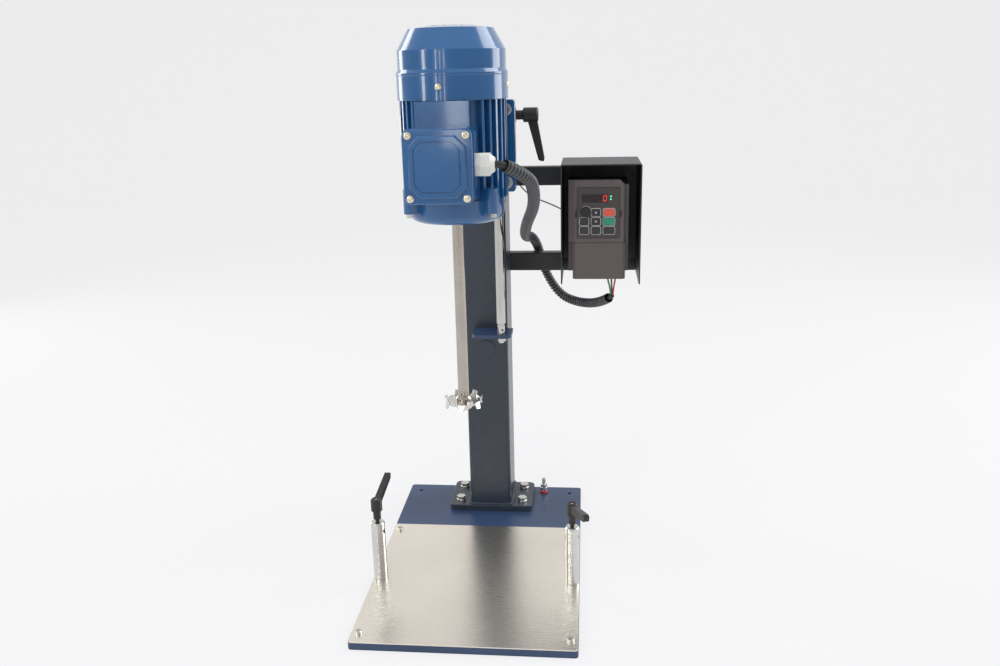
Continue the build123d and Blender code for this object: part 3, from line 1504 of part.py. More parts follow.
gland_mouth = Vector(box_right + gland_end + cable_stub_length, gland_y, box_centre_height)
conduit_way = Vector(0.66, 0.64, -0.39).normalized()
conduit_start = gland_mouth + conduit_way * 5
conduit_route = [
    tuple(conduit_start),
    tuple(conduit_start + conduit_way * 38),
    (95.0, -140.0, 582.0),
    (91.0, -75.0, 552.0),
    (80.0, 0.0, 522.0),
    (72.0, 80.0, 492.0),
    (70.0, 158.0, 474.0),
    (72.0, 222.0, 462.0),
    (77.0, 272.0, 436.0),
    (85.0, 290.0, 392.0),
    (112.0, 276.0, 350.0),
    (145.0, 250.0, 342.0),
    (179.0, 208.0, 352.0),
    (193.0, 165.0, 372.0),
]
conduit, conduit_length = flexible("cable_conduit", conduit_route, conduit_radius)
end_way = (Vector(*conduit_route[-1]) - Vector(*conduit_route[-2])).normalized()
with BuildPart() as cable_conduit:
    add(conduit)
    with BuildSketch(Plane(conduit_route[0], z_dir=-conduit_way)):
        Circle(conduit_bore)
    extrude(amount=-conduit_bore_depth, mode=Mode.SUBTRACT)
    with BuildSketch(Plane(conduit_route[-1], z_dir=end_way)):
        Circle(conduit_bore)
    extrude(amount=-conduit_bore_depth, mode=Mode.SUBTRACT)
save(cable_conduit.part, "cable_conduit")
print("cable_conduit length", round(conduit_length, 1), "volume", round(conduit.volume))

motor_cable_route = [
    (box_right - box_wall, gland_y, box_centre_height),
    tuple(gland_mouth),
    tuple(conduit_start + conduit_way * (conduit_bore_depth - 1)),
]
motor_cable, motor_cable_length = flexible("motor_cable", motor_cable_route, motor_cable_radius)
save(motor_cable, "motor_cable")

lead_start = Vector(*conduit_route[-1]) - end_way * (conduit_bore_depth - 1)
lead_end = Vector(*conduit_route[-1]) + end_way * 18
with BuildPart() as drive_cable:
    with BuildSketch(Plane(lead_start, z_dir=end_way)):
        Circle(lead_radius)
    extrude(amount=(lead_end - lead_start).length)
    for side_step, entry_x in ((-1.8, 189.5), (0.0, 196.0), (1.8, 203.0)):
        wire_start = lead_end + Vector(side_step, 0, 0) - end_way
        wire_route = [
            tuple(wire_start),
            tuple(wire_start + Vector(0, -3, 9)),
            (entry_x, wire_entry_y, drive_bottom - 12),
            (entry_x, wire_entry_y, drive_bottom),
        ]
        with BuildLine():
            FilletPolyline(*wire_route, radius=bend_radii(wire_route))
        with BuildSketch(Plane(wire_route[0], z_dir=Vector(0, -3, 9))):
            Circle(wire_radius)
        sweep()
save(drive_cable.part, "drive_cable")

control_route = [
    (134.0, hood_back, 488.0),
    (134.0, 258.0, 488.0),
    (108.0, 266.0, 502.0),
    (67.0, 266.0, 518.0),
    (48.0, 268.0, 536.0),
    (34.0, 270.0, 560.0),
    (12.0, 268.0, 588.0),
    (1.0, 254.0, 600.0),
    (0.0, 226.0, 600.0),
]
control_cable, control_length = flexible("control_cable", control_route, twin_cable_radius)
save(control_cable, "control_cable")
print("control_cable length", round(control_length, 1), "volume", round(control_cable.volume))
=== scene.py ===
# %% [markdown]
# # A laboratory disperser, dressed for its picture
# The solids come from the CAD model and already stand in their places. This lesson gives each
# of them a finish and adds what a solid leaves out: a ribbed conduit, cables, a weld bead,
# threads, screws, printed marks and lamps. All lengths are metres. X runs right, Y runs to the
# back and Z runs up.

# %% Load the model
import math

import bmesh
import bpy
import numpy as np
from mathutils import Matrix, Vector


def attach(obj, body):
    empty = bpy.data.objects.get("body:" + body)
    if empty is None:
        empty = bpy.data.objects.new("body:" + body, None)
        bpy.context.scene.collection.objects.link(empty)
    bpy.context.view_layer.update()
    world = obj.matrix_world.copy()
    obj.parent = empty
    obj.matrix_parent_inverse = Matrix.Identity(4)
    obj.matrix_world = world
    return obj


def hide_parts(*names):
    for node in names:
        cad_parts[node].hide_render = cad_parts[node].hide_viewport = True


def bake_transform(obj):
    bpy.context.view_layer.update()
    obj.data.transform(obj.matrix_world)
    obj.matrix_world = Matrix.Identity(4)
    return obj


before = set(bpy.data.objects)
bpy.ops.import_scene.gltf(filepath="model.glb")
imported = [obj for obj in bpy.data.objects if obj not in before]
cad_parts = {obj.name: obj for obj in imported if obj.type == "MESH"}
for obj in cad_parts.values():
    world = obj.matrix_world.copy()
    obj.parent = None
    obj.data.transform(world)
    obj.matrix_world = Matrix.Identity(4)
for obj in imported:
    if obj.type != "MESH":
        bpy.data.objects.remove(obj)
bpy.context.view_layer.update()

print("CAD nodes:", len(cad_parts))

# %% [markdown]
# ## Camera
# The picture was taken from a little above the motor's middle and a little to the right. The
# place and the turn were found by matching corners of known size. A camera looks along its own
# -Z, so its matrix is built from three unit vectors: right, up and back.

# %% Camera
eye = Vector((0.1569, -1.2069, 0.7200))
turn, dip, tilt = -0.0995, 0.2868, -0.0236  # radians: sideways, downwards, and round the view
ahead = Vector((math.sin(turn) * math.cos(dip), math.cos(turn) * math.cos(dip), -math.sin(dip)))
level_right = ahead.cross(Vector((0, 0, 1))).normalized()
level_up = level_right.cross(ahead)
right = level_right * math.cos(tilt) + level_up * math.sin(tilt)
up = level_up * math.cos(tilt) - level_right * math.sin(tilt)
camera_data = bpy.data.cameras.new("camera")
camera_data.sensor_width = 36.0
camera_data.lens = 32.16
camera = bpy.data.objects.new("camera", camera_data)
bpy.context.scene.collection.objects.link(camera)
turned = Matrix((right, up, -ahead)).transposed().to_4x4()
camera.matrix_world = Matrix.Translation(eye) @ turned
bpy.context.scene.camera = camera
bpy.context.scene.view_settings.view_transform = "Standard"
print("camera at", [round(c, 3) for c in eye], "lens", round(camera_data.lens, 2), "mm")

# %% [markdown]
# ## Nodes in short
# A finish is a small graph of shader nodes. One helper makes a node, fills its inputs with
# numbers or with links, and gives it back, so that each finish below reads as a list of steps.
# Three more helpers stand for what every finish uses: a stretched span, a mix and a noise.

# %% Node helpers
def node(tree, kind, inputs=None, **settings):
    """Adds a node. An input that is a socket is linked, and any other value is set."""
    made = tree.nodes.new(kind)
    for key, value in settings.items():
        setattr(made, key, value)
    for key, value in (inputs or {}).items():
        if isinstance(value, bpy.types.NodeSocket):
            tree.links.new(value, made.inputs[key])
        else:
            made.inputs[key].default_value = value
    return made


def spread(tree, value, low, high, out_low=0.0, out_high=1.0):
    """Stretches the span low..high of a value to out_low..out_high, and holds it there."""
    return node(tree, "ShaderNodeMapRange", {
        "Value": value, "From Min": low, "From Max": high, "To Min": out_low, "To Max": out_high,
    }).outputs[0]


def blend_colours(tree, factor, first, second):
    """Mixes two colours by a factor from 0 to 1."""
    mixed = node(tree, "ShaderNodeMix", {0: factor, 6: first, 7: second}, data_type="RGBA")
    return mixed.outputs[2]


def noise(tree, place, scale, detail):
    """A cloudy value round 0.5, with its coarsest clouds 1 / scale metres apart."""
    inputs = {"Vector": place, "Scale": scale, "Detail": detail}
    return node(tree, "ShaderNodeTexNoise", inputs).outputs[0]


# %% [markdown]
# ## One recipe for every finish
# Paint, metal and plastic differ in numbers more than in kind. Each has a colour that drifts a
# little over a few centimetres, a fine grain that tilts the surface and changes its gloss, and
# edges that are rounded by a fraction of a millimetre. The round edge is made in the shader,
# because the solids keep their sharp corners. Where an edge is rubbed, the paint is thinner and
# lighter. The patterns read object coordinates, so they stay on the piece from every side.

# %% Rubbed edges
def rub_edges(tree, tint, soft, place, rubbed):
    """Shows the rubbed colour in patches, where the rounded normal leaves the flat one."""
    flat = node(tree, "ShaderNodeNewGeometry").outputs["Normal"]
    facing = node(tree, "ShaderNodeVectorMath", {0: soft, 1: flat}, operation="DOT_PRODUCT")
    at_edge = spread(tree, facing.outputs["Value"], 0.99, 0.90)
    patchy = spread(tree, noise(tree, place, 160.0, 5.0), 0.45, 0.62)
    wear = node(tree, "ShaderNodeMath", {0: at_edge, 1: patchy}, operation="MULTIPLY")
    return blend_colours(tree, wear.outputs[0], tint, [*rubbed, 1.0])


# %% Finish recipe
finishes = {}


def finish(
    name, colour, metallic=0.0, roughness=0.5, drift=(20.0, 0.12), grain=(1500.0, 0.00002),
    stretch=(1.0, 1.0, 1.0), gloss_spread=0.08, edge=0.0004, rubbed=None, coat=0.0,
):
    """A procedural finish.

    drift is (scale per metre, share of the colour), and grain is (scale, height in metres).
    A small stretch along an axis draws the grain out into lines along it. edge is the radius
    of an edge, and rubbed is the colour that shows where an edge is worn.
    """
    material = bpy.data.materials.new(name)
    material.use_nodes = True
    tree = material.node_tree
    shader = tree.nodes["Principled BSDF"]
    place = node(tree, "ShaderNodeTexCoord").outputs["Object"]
    along = node(tree, "ShaderNodeMapping", {"Vector": place, "Scale": stretch}).outputs[0]
    slow, fine = noise(tree, place, drift[0], 4.0), noise(tree, along, grain[0], 3.0)
    dark = [c * (1 - drift[1]) for c in colour] + [1.0]
    light = [min(1.0, c * (1 + drift[1])) for c in colour] + [1.0]
    tint = blend_colours(tree, spread(tree, slow, 0.3, 0.7), dark, light)
    soft = node(tree, "ShaderNodeBevel", {"Radius": edge}, samples=4).outputs[0]
    if rubbed:
        tint = rub_edges(tree, tint, soft, place, rubbed)
    tree.links.new(tint, shader.inputs["Base Color"])
    smooth, rough = max(0.02, roughness - gloss_spread), roughness + gloss_spread
    tree.links.new(spread(tree, fine, 0.25, 0.75, smooth, rough), shader.inputs["Roughness"])
    bump = node(tree, "ShaderNodeBump", {
        "Height": fine, "Distance": grain[1], "Strength": 1.0, "Normal": soft,
    })
    tree.links.new(bump.outputs[0], shader.inputs["Normal"])
    shader.inputs["Metallic"].default_value = metallic
    shader.inputs["Coat Weight"].default_value = coat
    shader.inputs["Coat Roughness"].default_value = 0.06
    finishes[name] = material
    return material


# %% [markdown]
# ## Paints
# The stand has a dark slate-blue powder coat with a slight orange peel, and the column a
# darker, greyer one. The motor has a glossy machine blue, thick enough to look wet, so it gets
# a clear coat. The hood is satin black.

# %% Paints
finish(
    "stand_paint", (0.026, 0.053, 0.118), roughness=0.36, drift=(9, 0.16),
    grain=(900, 0.00002), rubbed=(0.07, 0.10, 0.17),
)
finish(
    "column_paint", (0.027, 0.037, 0.053), roughness=0.30, drift=(7, 0.18),
    grain=(900, 0.00001), rubbed=(0.06, 0.08, 0.12),
)
finish(
    "motor_paint", (0.012, 0.092, 0.245), roughness=0.20, drift=(9, 0.10),
    grain=(260, 0.000012), gloss_spread=0.04, edge=0.0010, rubbed=(0.05, 0.14, 0.32), coat=0.8,
)
finish(
    "hood_paint", (0.020, 0.021, 0.023), roughness=0.42, drift=(12, 0.2),
    grain=(1300, 0.00003), rubbed=(0.05, 0.05, 0.05),
)
print("paints:", len(finishes))

# %% [markdown]
# ## Metals
# A metal's colour is the colour of its reflection. What tells one from another is the direction
# of the tool marks: rings on a turned post, long lines on a brushed sheet, none on a polished
# tube. The grain is stretched to match, by a small scale along the way the marks run.

# %% Bare and plated metals
finish(
    "bright_zinc", (0.66, 0.65, 0.60), 1.0, 0.28, drift=(90, 0.14), grain=(1800, 0.00001),
    rubbed=(0.8, 0.79, 0.76),
)
finish(
    "yellow_zinc", (0.84, 0.76, 0.60), 1.0, 0.26, drift=(160, 0.12), grain=(1500, 0.00001),
    rubbed=(0.9, 0.86, 0.74),
)
finish(
    "black_oxide", (0.035, 0.035, 0.038), 1.0, 0.40, drift=(160, 0.2), grain=(1800, 0.00001),
    rubbed=(0.20, 0.20, 0.20),
)
print("paints and plated metals:", len(finishes))

# %% Metals with tool marks
finish(
    "turned_aluminium", (0.66, 0.66, 0.64), 1.0, 0.27, drift=(25, 0.06),
    grain=(1200, 0.000002), stretch=(0.05, 0.05, 1), gloss_spread=0.02,
)
finish(
    "ground_steel", (0.47, 0.43, 0.38), 1.0, 0.22, drift=(30, 0.10), grain=(2600, 0.000004),
    stretch=(0.08, 0.08, 1),
)
finish(
    "disc_steel", (0.68, 0.66, 0.62), 1.0, 0.22, drift=(70, 0.10), grain=(1600, 0.00001),
    stretch=(0.3, 1, 1),
)
finish(
    "polished_tube", (0.56, 0.55, 0.53), 1.0, 0.10, drift=(40, 0.05), grain=(2200, 0.000004),
    stretch=(1, 1, 0.05), gloss_spread=0.03,
)
finish(
    "core_steel", (0.34, 0.33, 0.32), 1.0, 0.45, drift=(60, 0.15), grain=(2500, 0.00002),
    stretch=(0.2, 0.2, 1),
)
finish(
    "plate_metal", (0.62, 0.62, 0.60), 1.0, 0.34, drift=(60, 0.08), grain=(1800, 0.00001),
    stretch=(1, 0.05, 1),
)
print("paints and all metals:", len(finishes))

# %% [markdown]
# ## Plastics, rubber and print
# Moulded plastic has a fine spark-eroded grain and no direction. Nylon is paler and a little
# glossy, and the display's window is smooth. The plain ones differ in four values alone, so
# they stand in a table.

# %% Plastics
finish(
    "lever_plastic", (0.014, 0.014, 0.015), roughness=0.42, drift=(60, 0.2),
    grain=(2200, 0.00003), rubbed=(0.07, 0.07, 0.07),
)
finish(
    "drive_plastic", (0.098, 0.083, 0.077), roughness=0.52, drift=(25, 0.06),
    grain=(2600, 0.00003), rubbed=(0.15, 0.13, 0.12),
)
finish(
    "window", (0.016, 0.010, 0.010), roughness=0.12, drift=(50, 0.1), grain=(900, 0.000002),
    gloss_spread=0.02,
)
finish(
    "nylon", (0.74, 0.74, 0.69), roughness=0.38, drift=(60, 0.05), grain=(1600, 0.00002),
    edge=0.0007,
)
plain_finishes = {  # colour, roughness, drift and grain
    "keypad_plastic": ((0.052, 0.045, 0.043), 0.46, (40, 0.05), (2600, 0.00002)),
    "key_dark": ((0.030, 0.029, 0.030), 0.50, (120, 0.06), (3000, 0.00002)),
    "key_red": ((0.68, 0.095, 0.060), 0.50, (120, 0.06), (3000, 0.00002)),
    "key_green": ((0.022, 0.26, 0.150), 0.50, (120, 0.06), (3000, 0.00002)),
    "conduit_plastic": ((0.036, 0.038, 0.040), 0.36, (30, 0.15), (1800, 0.00002)),
    "cable_rubber": ((0.022, 0.022, 0.023), 0.50, (50, 0.15), (2000, 0.00003)),
    "cable_grey": ((0.16, 0.155, 0.145), 0.48, (60, 0.12), (2000, 0.00002)),
    "wire_green": ((0.020, 0.26, 0.10), 0.40, (90, 0.1), (2000, 0.00002)),
    "wire_brown": ((0.10, 0.045, 0.025), 0.40, (90, 0.1), (2000, 0.00002)),
    "wire_red": ((0.56, 0.03, 0.03), 0.40, (90, 0.1), (2000, 0.00002)),
    "red_plastic": ((0.62, 0.045, 0.03), 0.40, (90, 0.1), (2000, 0.00002)),
    "pale_print": ((0.72, 0.74, 0.72), 0.55, (120, 0.06), (3000, 0.00001)),
    "slide_plastic": ((0.62, 0.62, 0.58), 0.50, (60, 0.05), (2000, 0.00002)),
}
for name, (colour, roughness, drift, grain) in plain_finishes.items():
    finish(name, colour, roughness=roughness, drift=drift, grain=grain)
print("finishes so far:", len(finishes))

# %% [markdown]
# ## The work sheet
# The stainless sheet is brushed from side to side, so its highlights smear towards the viewer
# and the column's reflection becomes a dark band. Over the brushed grain lie a few stray
# scratches in three directions. A scratch is a noise that is stretched along a slant and cut
# off high, so that only its thin peaks remain.

# %% Brushed work sheet
sheet_tree = finish(
    "brushed_sheet", (0.86, 0.80, 0.71), 1.0, 0.28, drift=(5, 0.07), grain=(5200, 0.000010),
    stretch=(0.012, 1, 1), gloss_spread=0.06, edge=0.0003,
).node_tree
sheet_colour = sheet_tree.nodes["Principled BSDF"].inputs["Base Color"]
sheet_place = node(sheet_tree, "ShaderNodeTexCoord").outputs["Object"]
scratch_tint = [0.92, 0.90, 0.86, 1.0]
scratches = ((0.5, 0.0, 0.48), (-0.9, 3.0, 0.39), (1.9, 7.0, 0.36))  # angle, shift and share
for angle, shift, share in scratches:
    slanted = node(sheet_tree, "ShaderNodeMapping", {
        "Vector": sheet_place, "Location": (shift, shift, 0), "Rotation": (0, 0, angle),
        "Scale": (0.06, 1, 1),
    }).outputs[0]
    scratch = spread(sheet_tree, noise(sheet_tree, slanted, 420.0, 1.0), 0.80, 0.83, 0.0, share)
    under = sheet_colour.links[0].from_socket
    sheet_tree.links.new(blend_colours(sheet_tree, scratch, under, scratch_tint), sheet_colour)
print("directions of scratches:", len(scratches), "finishes:", len(finishes))

# %% [markdown]
# ## Which node gets which finish
# A CAD node keeps its mesh, so its finish goes into the material slots of its object. A table
# from finish to nodes is easy to check against the real object.

# %% Dress the CAD nodes
dress = {
    "stand_paint": "base_plate column_cap spring_shelf carriage_saddle carriage_arm"
                   " gas_spring_bracket",
    "column_paint": "column column_foot column_plug",
    "hood_paint": "drive_hood drive_arms",
    "brushed_sheet": "top_sheet",
    "bright_zinc": "sheet_screws column_bolts earth_stud foot_bolts tie_bolts",
    "black_oxide": "hood_screws",
    "turned_aluminium": "left_clamp_post right_clamp_post",
    "ground_steel": "motor_shaft gas_spring_rod",
    "disc_steel": "dispersing_disc disc_nut",
    "polished_tube": "gas_spring_tube",
    "core_steel": "stator rotor_core bearings",
    "yellow_zinc": "cover_screws",
    "motor_paint": "motor_housing upper_end_shield lower_end_shield fan_cowl terminal_box"
                   " terminal_box_lid",
    "lever_plastic": "lock_lever left_post_lever right_post_lever speed_knob cooling_fan",
    "drive_plastic": "drive_body drive_cover terminal_cover",
    "keypad_plastic": "keypad",
    "key_dark": "key_up key_program key_down key_escape key_shift key_jog",
    "key_red": "key_stop",
    "key_green": "key_run",
    "window": "display_window",
    "nylon": "cable_gland",
    "slide_plastic": "slide_pads",
    "conduit_plastic": "cable_conduit",
    "cable_rubber": "motor_cable drive_cable",
    "cable_grey": "control_cable",
    "red_plastic": "earth_washer",
}
for finish_name, node_names in dress.items():
    for node_name in node_names.split():
        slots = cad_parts[node_name].data.materials
        slots.clear()
        slots.append(finishes[finish_name])
print("nodes dressed:", sum(len(names.split()) for names in dress.values()))

# %% [markdown]
# ## Surfaces from arrays
# Every added piece is a grid of points worked out at once as an array, and then joined into
# four-sided faces. Rows and columns can close into loops, and the two ends of a tube can be
# covered. A piece then rides on the body that carries it, and takes its finish in its one slot.

# %% Grid to mesh
def grid_mesh(name, points, finish_name, closed=(False, True), ends=False):
    """An object whose faces join each point of a grid to its next row and next column.

    closed says whether the rows and the columns run round in a loop, and ends says whether
    the first and the last row are covered.
    """
    rows, columns = points.shape[:2]
    i = np.arange(rows if closed[0] else rows - 1)[:, None] * columns
    j = np.arange(columns if closed[1] else columns - 1)[None, :]
    next_i, next_j = (i + columns) % (rows * columns), (j + 1) % columns
    quads = np.stack([i + j, i + next_j, next_i + next_j, next_i + j], -1)
    faces = quads.reshape(-1, 4).tolist()
    if ends:
        faces.append(list(range(columns))[::-1])
        faces.append([(rows - 1) * columns + k for k in range(columns)])
    mesh = bpy.data.meshes.new(name)
    mesh.from_pydata(points.reshape(-1, 3).tolist(), [], faces)
    shell = bmesh.new()
    shell.from_mesh(mesh)
    bmesh.ops.recalc_face_normals(shell, faces=shell.faces)
    shell.to_mesh(mesh)
    shell.free()
    mesh.polygons.foreach_set("use_smooth", np.ones(len(mesh.polygons), bool))
    mesh.materials.append(finishes[finish_name])
    piece = bpy.data.objects.new(name, mesh)
    bpy.context.scene.collection.objects.link(piece)
    return piece


def skin(name, points, finish_name, body, closed=(False, True), ends=True):
    """A piece made from a grid. It rides on body, or on none if body is empty."""
    piece = grid_mesh(name, points, finish_name, closed, ends)
    if body:
        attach(piece, body)
    return piece


# %% [markdown]
# ## A smooth line for a cable
# A cable bends as one smooth curve, so its route is a NURBS spline that the given points
# pull towards themselves. Blender turns the spline into closely spaced points, and the tubes
# below follow those. A tube is a row of rings, each square to the line.

# %% Cable line
def smooth_line(route, steps):
    """Points along a NURBS spline of order 3 that starts and ends on the route's ends."""
    curve = bpy.data.curves.new("line", "CURVE")
    curve.dimensions = "3D"
    spline = curve.splines.new("NURBS")
    spline.points.add(len(route) - 1)
    for point, place in zip(spline.points, route):
        point.co = (*place, 1.0)
    spline.order_u = 3
    spline.use_endpoint_u = True
    curve.resolution_u = steps
    holder = bpy.data.objects.new("line", curve)
    bpy.context.scene.collection.objects.link(holder)
    mesh = bpy.data.meshes.new_from_object(holder)
    line = np.array([v.co for v in mesh.vertices])
    bpy.data.objects.remove(holder)
    bpy.data.curves.remove(curve)
    bpy.data.meshes.remove(mesh)
    return line


def run_length(line):
    """The distance from the start to each point of a line."""
    return np.concatenate([[0.0], np.cumsum(np.linalg.norm(np.diff(line, axis=0), axis=1))])


# %% Rings round a line
def round_section(a):
    """Section of a round tube: u = cos a and v = sin a."""
    return np.cos(a), np.sin(a)


def rings(line, stations, radii, sides, reference=(1, 0, 0), section=round_section):
    """Rings round a line: point = line(s) + r (u n + v b).

    n is the reference direction crossed with the tangent, b is the tangent crossed with n,
    and (u, v) is the section at the angle a.
    """
    travelled = run_length(line)
    tangents = np.gradient(line, travelled, axis=0)
    spot = np.stack([np.interp(stations, travelled, line[:, k]) for k in range(3)], -1)
    way = np.stack([np.interp(stations, travelled, tangents[:, k]) for k in range(3)], -1)
    way /= np.linalg.norm(way, axis=1, keepdims=True)
    n = np.cross(np.array(reference, float), way)
    n /= np.linalg.norm(n, axis=1, keepdims=True)
    b = np.cross(way, n)
    u, v = section(np.linspace(0, 2 * math.pi, sides, endpoint=False))
    radii = np.broadcast_to(radii, len(stations))[:, None, None]
    return spot[:, None] + radii * (u[None, :, None] * n[:, None] + v[None, :, None] * b[:, None])


# %% [markdown]
# ## Route of the conduit
# The motor's cable runs in a black corrugated conduit. It leaves the gland, hangs beside the
# carriage's arm, passes behind the drive's lower arm and swings forward to the drive. The
# points were chosen to follow the line in the picture and to clear what is near.

# %% Conduit route
conduit_route = [
    (0.0666, -0.2078, 0.6176),
    (0.0917, -0.1835, 0.6028),
    (0.0950, -0.1400, 0.5820),
    (0.0910, -0.0750, 0.5520),
    (0.0770, 0.0000, 0.5200),
    (0.0680, 0.0800, 0.4900),
    (0.0665, 0.1580, 0.4700),
    (0.0690, 0.2220, 0.4610),
    (0.0770, 0.2720, 0.4360),
    (0.0850, 0.2900, 0.3920),
    (0.1120, 0.2760, 0.3500),
    (0.1450, 0.2500, 0.3420),
    (0.1790, 0.2080, 0.3520),
    (0.1930, 0.1650, 0.3720),
]
conduit_line = smooth_line(conduit_route, 40)
conduit_length = run_length(conduit_line)[-1]
print("conduit length:", round(conduit_length, 4))

# %% [markdown]
# ## Wall of the conduit
# The wall is a wave: the radius rises and falls once per rib. At both ends the wall turns
# inwards, so the conduit is seen to be a tube. When the carriage slides, the front follows the
# motor and the back stays with the drive, so its end at the drive stays put. The conduit runs on
# half to the right and half to the back nearly all the way. Here the piece rides on no body.

# %% Conduit wall
rib_pitch, mean_radius, rib_rise, conduit_sides = 0.0054, 0.0071, 0.00075, 22
mouth_depth, mouth_radius, lip_radius, plug_radius = 0.011, 0.0063, 0.0072, 0.0005
wall_stations = np.arange(0.0004, conduit_length - 0.0004, rib_pitch / 8)
wave = np.cos(wall_stations / rib_pitch * 2 * math.pi)
wall_radii = mean_radius + rib_rise * np.sign(wave) * np.abs(wave) ** 0.7
mouth_stations = np.array([mouth_depth, mouth_depth, 0.0, 0.0])
mouth_radii = np.array([plug_radius, mouth_radius, mouth_radius, lip_radius])
far_stations = conduit_length - mouth_stations[::-1]
conduit_stations = np.concatenate([mouth_stations, wall_stations, far_stations])
conduit_radii = np.concatenate([mouth_radii, wall_radii, mouth_radii[::-1]])
conduit_rings = rings(conduit_line, conduit_stations, conduit_radii, conduit_sides)
conduit = skin("ribbed_conduit", conduit_rings, "conduit_plastic", None)
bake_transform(conduit)
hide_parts("cable_conduit")
print("conduit ribs:", round(conduit_length / rib_pitch), "faces:", len(conduit.data.polygons))

# %% [markdown]
# ## Painted shade in the valleys and painted sheen on the crests
# The valleys get a painted shade, since light hardly reaches their bottom, and the crests a pale
# painted sheen. Each point carries the height of the wave as a value of its own, and the finish
# mixes the painted shade and the painted sheen by it. A pattern in space couldn't do that, since
# the ribs follow the curve.

# %% Painted rib shade and sheen
rib_height = np.pad(wave, len(mouth_stations), constant_values=-0.6)
rib_mark = conduit.data.attributes.new("rib", "FLOAT", "POINT")
rib_values = np.repeat(rib_height, conduit_sides).astype(np.float32)
rib_mark.data.foreach_set("value", rib_values)
rib_tree = finishes["conduit_plastic"].node_tree
rib_colour = rib_tree.nodes["Principled BSDF"].inputs["Base Color"]
rib_read = node(rib_tree, "ShaderNodeAttribute", attribute_name="rib").outputs["Fac"]
# painted shade for the valleys and a pale painted sheen for the crests, mixed by the wave's height
painted_valley_shade, painted_crest_sheen = [0.004, 0.004, 0.005, 1], [0.105, 0.110, 0.115, 1]
painted_rib_shade_and_sheen = blend_colours(rib_tree, spread(rib_tree, rib_read, -0.8, 0.9), painted_valley_shade, painted_crest_sheen)
plain_tone = rib_colour.links[0].from_socket
rib_tree.links.new(blend_colours(rib_tree, 0.75, plain_tone, painted_rib_shade_and_sheen), rib_colour)
print("points with a rib height:", len(rib_values))

# %% [markdown]
# ## Twin control cable
# A thin grey twin cable runs from the back of the hood into the column. Its section is a figure
# of eight: wide along one axis, and pinched in the middle along the other.

# %% Control cable
def twin_section(a):
    """Section of a twin cable: u = cos a, and v = sin a times a thickness, least in the middle."""
    return np.cos(a), np.sin(a) * (0.42 + 0.30 * np.abs(np.cos(a)))


control_route = [
    (0.1340, 0.2420, 0.4880),
    (0.1340, 0.2580, 0.4880),
    (0.1080, 0.2660, 0.5020),
    (0.0670, 0.2660, 0.5180),
    (0.0480, 0.2680, 0.5360),
    (0.0340, 0.2700, 0.5600),
    (0.0120, 0.2680, 0.5880),
    (0.0010, 0.2540, 0.6000),
    (0.0000, 0.2260, 0.6000),
]
control_line = smooth_line(control_route, 24)
control_length = run_length(control_line)[-1]
control_stations = np.linspace(0, control_length, 220)
control_rings = rings(control_line, control_stations, 0.00195, 20, (0, 0, 1), twin_section)
control = skin("twin_cable", control_rings, "cable_grey", "stand")
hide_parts("control_cable")
print("control cable length:", round(control_length, 4))

# %% [markdown]
# ## Leads of the drive
# A black sheath comes out of the conduit's end, and three insulated leads go from it up into
# the drive. The sheath runs straight on from the conduit's last stretch, and each lead starts
# inside the sheath, so no gap shows.

# %% Sheath
sheath_in, sheath_out, sheath_radius = 0.010, 0.018, 0.0034
conduit_end = np.array(conduit_route[-1])
sheath_way = conduit_end - np.array(conduit_route[-2])
sheath_way /= np.linalg.norm(sheath_way)
sheath_line = conduit_end + np.linspace(-sheath_in, sheath_out, 12)[:, None] * sheath_way
sheath_stations = np.linspace(0, sheath_in + sheath_out, 24)
sheath_radii = sheath_radius * np.where(sheath_stations > 0.0272, 0.86, 1.0)
sheath_rings = rings(sheath_line, sheath_stations, sheath_radii, 20)
sheath = skin("lead_sheath", sheath_rings, "cable_rubber", "stand")
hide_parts("drive_cable")
print("sheath length:", sheath_in + sheath_out)

# %% Three leads
lead_radius, lead_depth, drive_underside = 0.0013, 0.152, 0.4208
sheath_mouth = conduit_end + sheath_way * (sheath_out - 0.003)
for colour_name, shift, entry in (
    ("green", -0.0018, 0.1895), ("brown", 0.0, 0.196), ("red", 0.0018, 0.203),
):
    foot = sheath_mouth + [shift, 0, 0]
    lead_route = [
        foot, foot + [0, -0.003, 0.010], [entry, lead_depth, 0.409],
        [entry, lead_depth, drive_underside],
    ]
    lead_line = smooth_line(lead_route, 16)
    lead_length = run_length(lead_line)[-1]
    lead_rings = rings(lead_line, np.linspace(0, lead_length, 40), lead_radius, 12)
    lead = skin(f"lead_{colour_name}", lead_rings, f"wire_{colour_name}", "stand")
    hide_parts("drive_cable")
    print(colour_name, "lead length:", round(lead_length, 4))

# %% [markdown]
# ## Bands that follow an outline
# Weld beads and printed key frames are a small section carried along an outline. The outline
# here is a rectangle with round corners: each corner is a quarter circle, and the straight
# sides come from joining them.

# %% Outlines
def round_rectangle(width, height, corner, per_corner):
    """A rectangle with round corners: corner centre + corner (cos a, sin a), a quarter each."""
    quarter = np.linspace(0, math.pi / 2, per_corner)
    angles = (np.arange(4)[:, None] * math.pi / 2 + quarter[None, :]).ravel()
    signs = np.repeat(np.array([[1, 1], [-1, 1], [-1, -1], [1, -1]]), per_corner, axis=0)
    centres = signs * np.array([width / 2 - corner, height / 2 - corner])
    return centres + corner * np.stack([np.cos(angles), np.sin(angles)], -1)


def resample(outline, count):
    """Evenly spaced points along a closed outline, and its length."""
    loop = np.vstack([outline, outline[:1]])
    travelled = run_length(loop)
    where = np.linspace(0, travelled[-1], count, endpoint=False)
    return np.stack([np.interp(where, travelled, loop[:, k]) for k in range(2)], -1), travelled[-1]


def outward(outline):
    """The outward direction at each point of a closed outline that runs anticlockwise."""
    onward = np.roll(outline, -1, 0) - np.roll(outline, 1, 0)
    side = np.stack([onward[:, 1], -onward[:, 0]], -1)
    return side / np.linalg.norm(side, axis=1, keepdims=True)


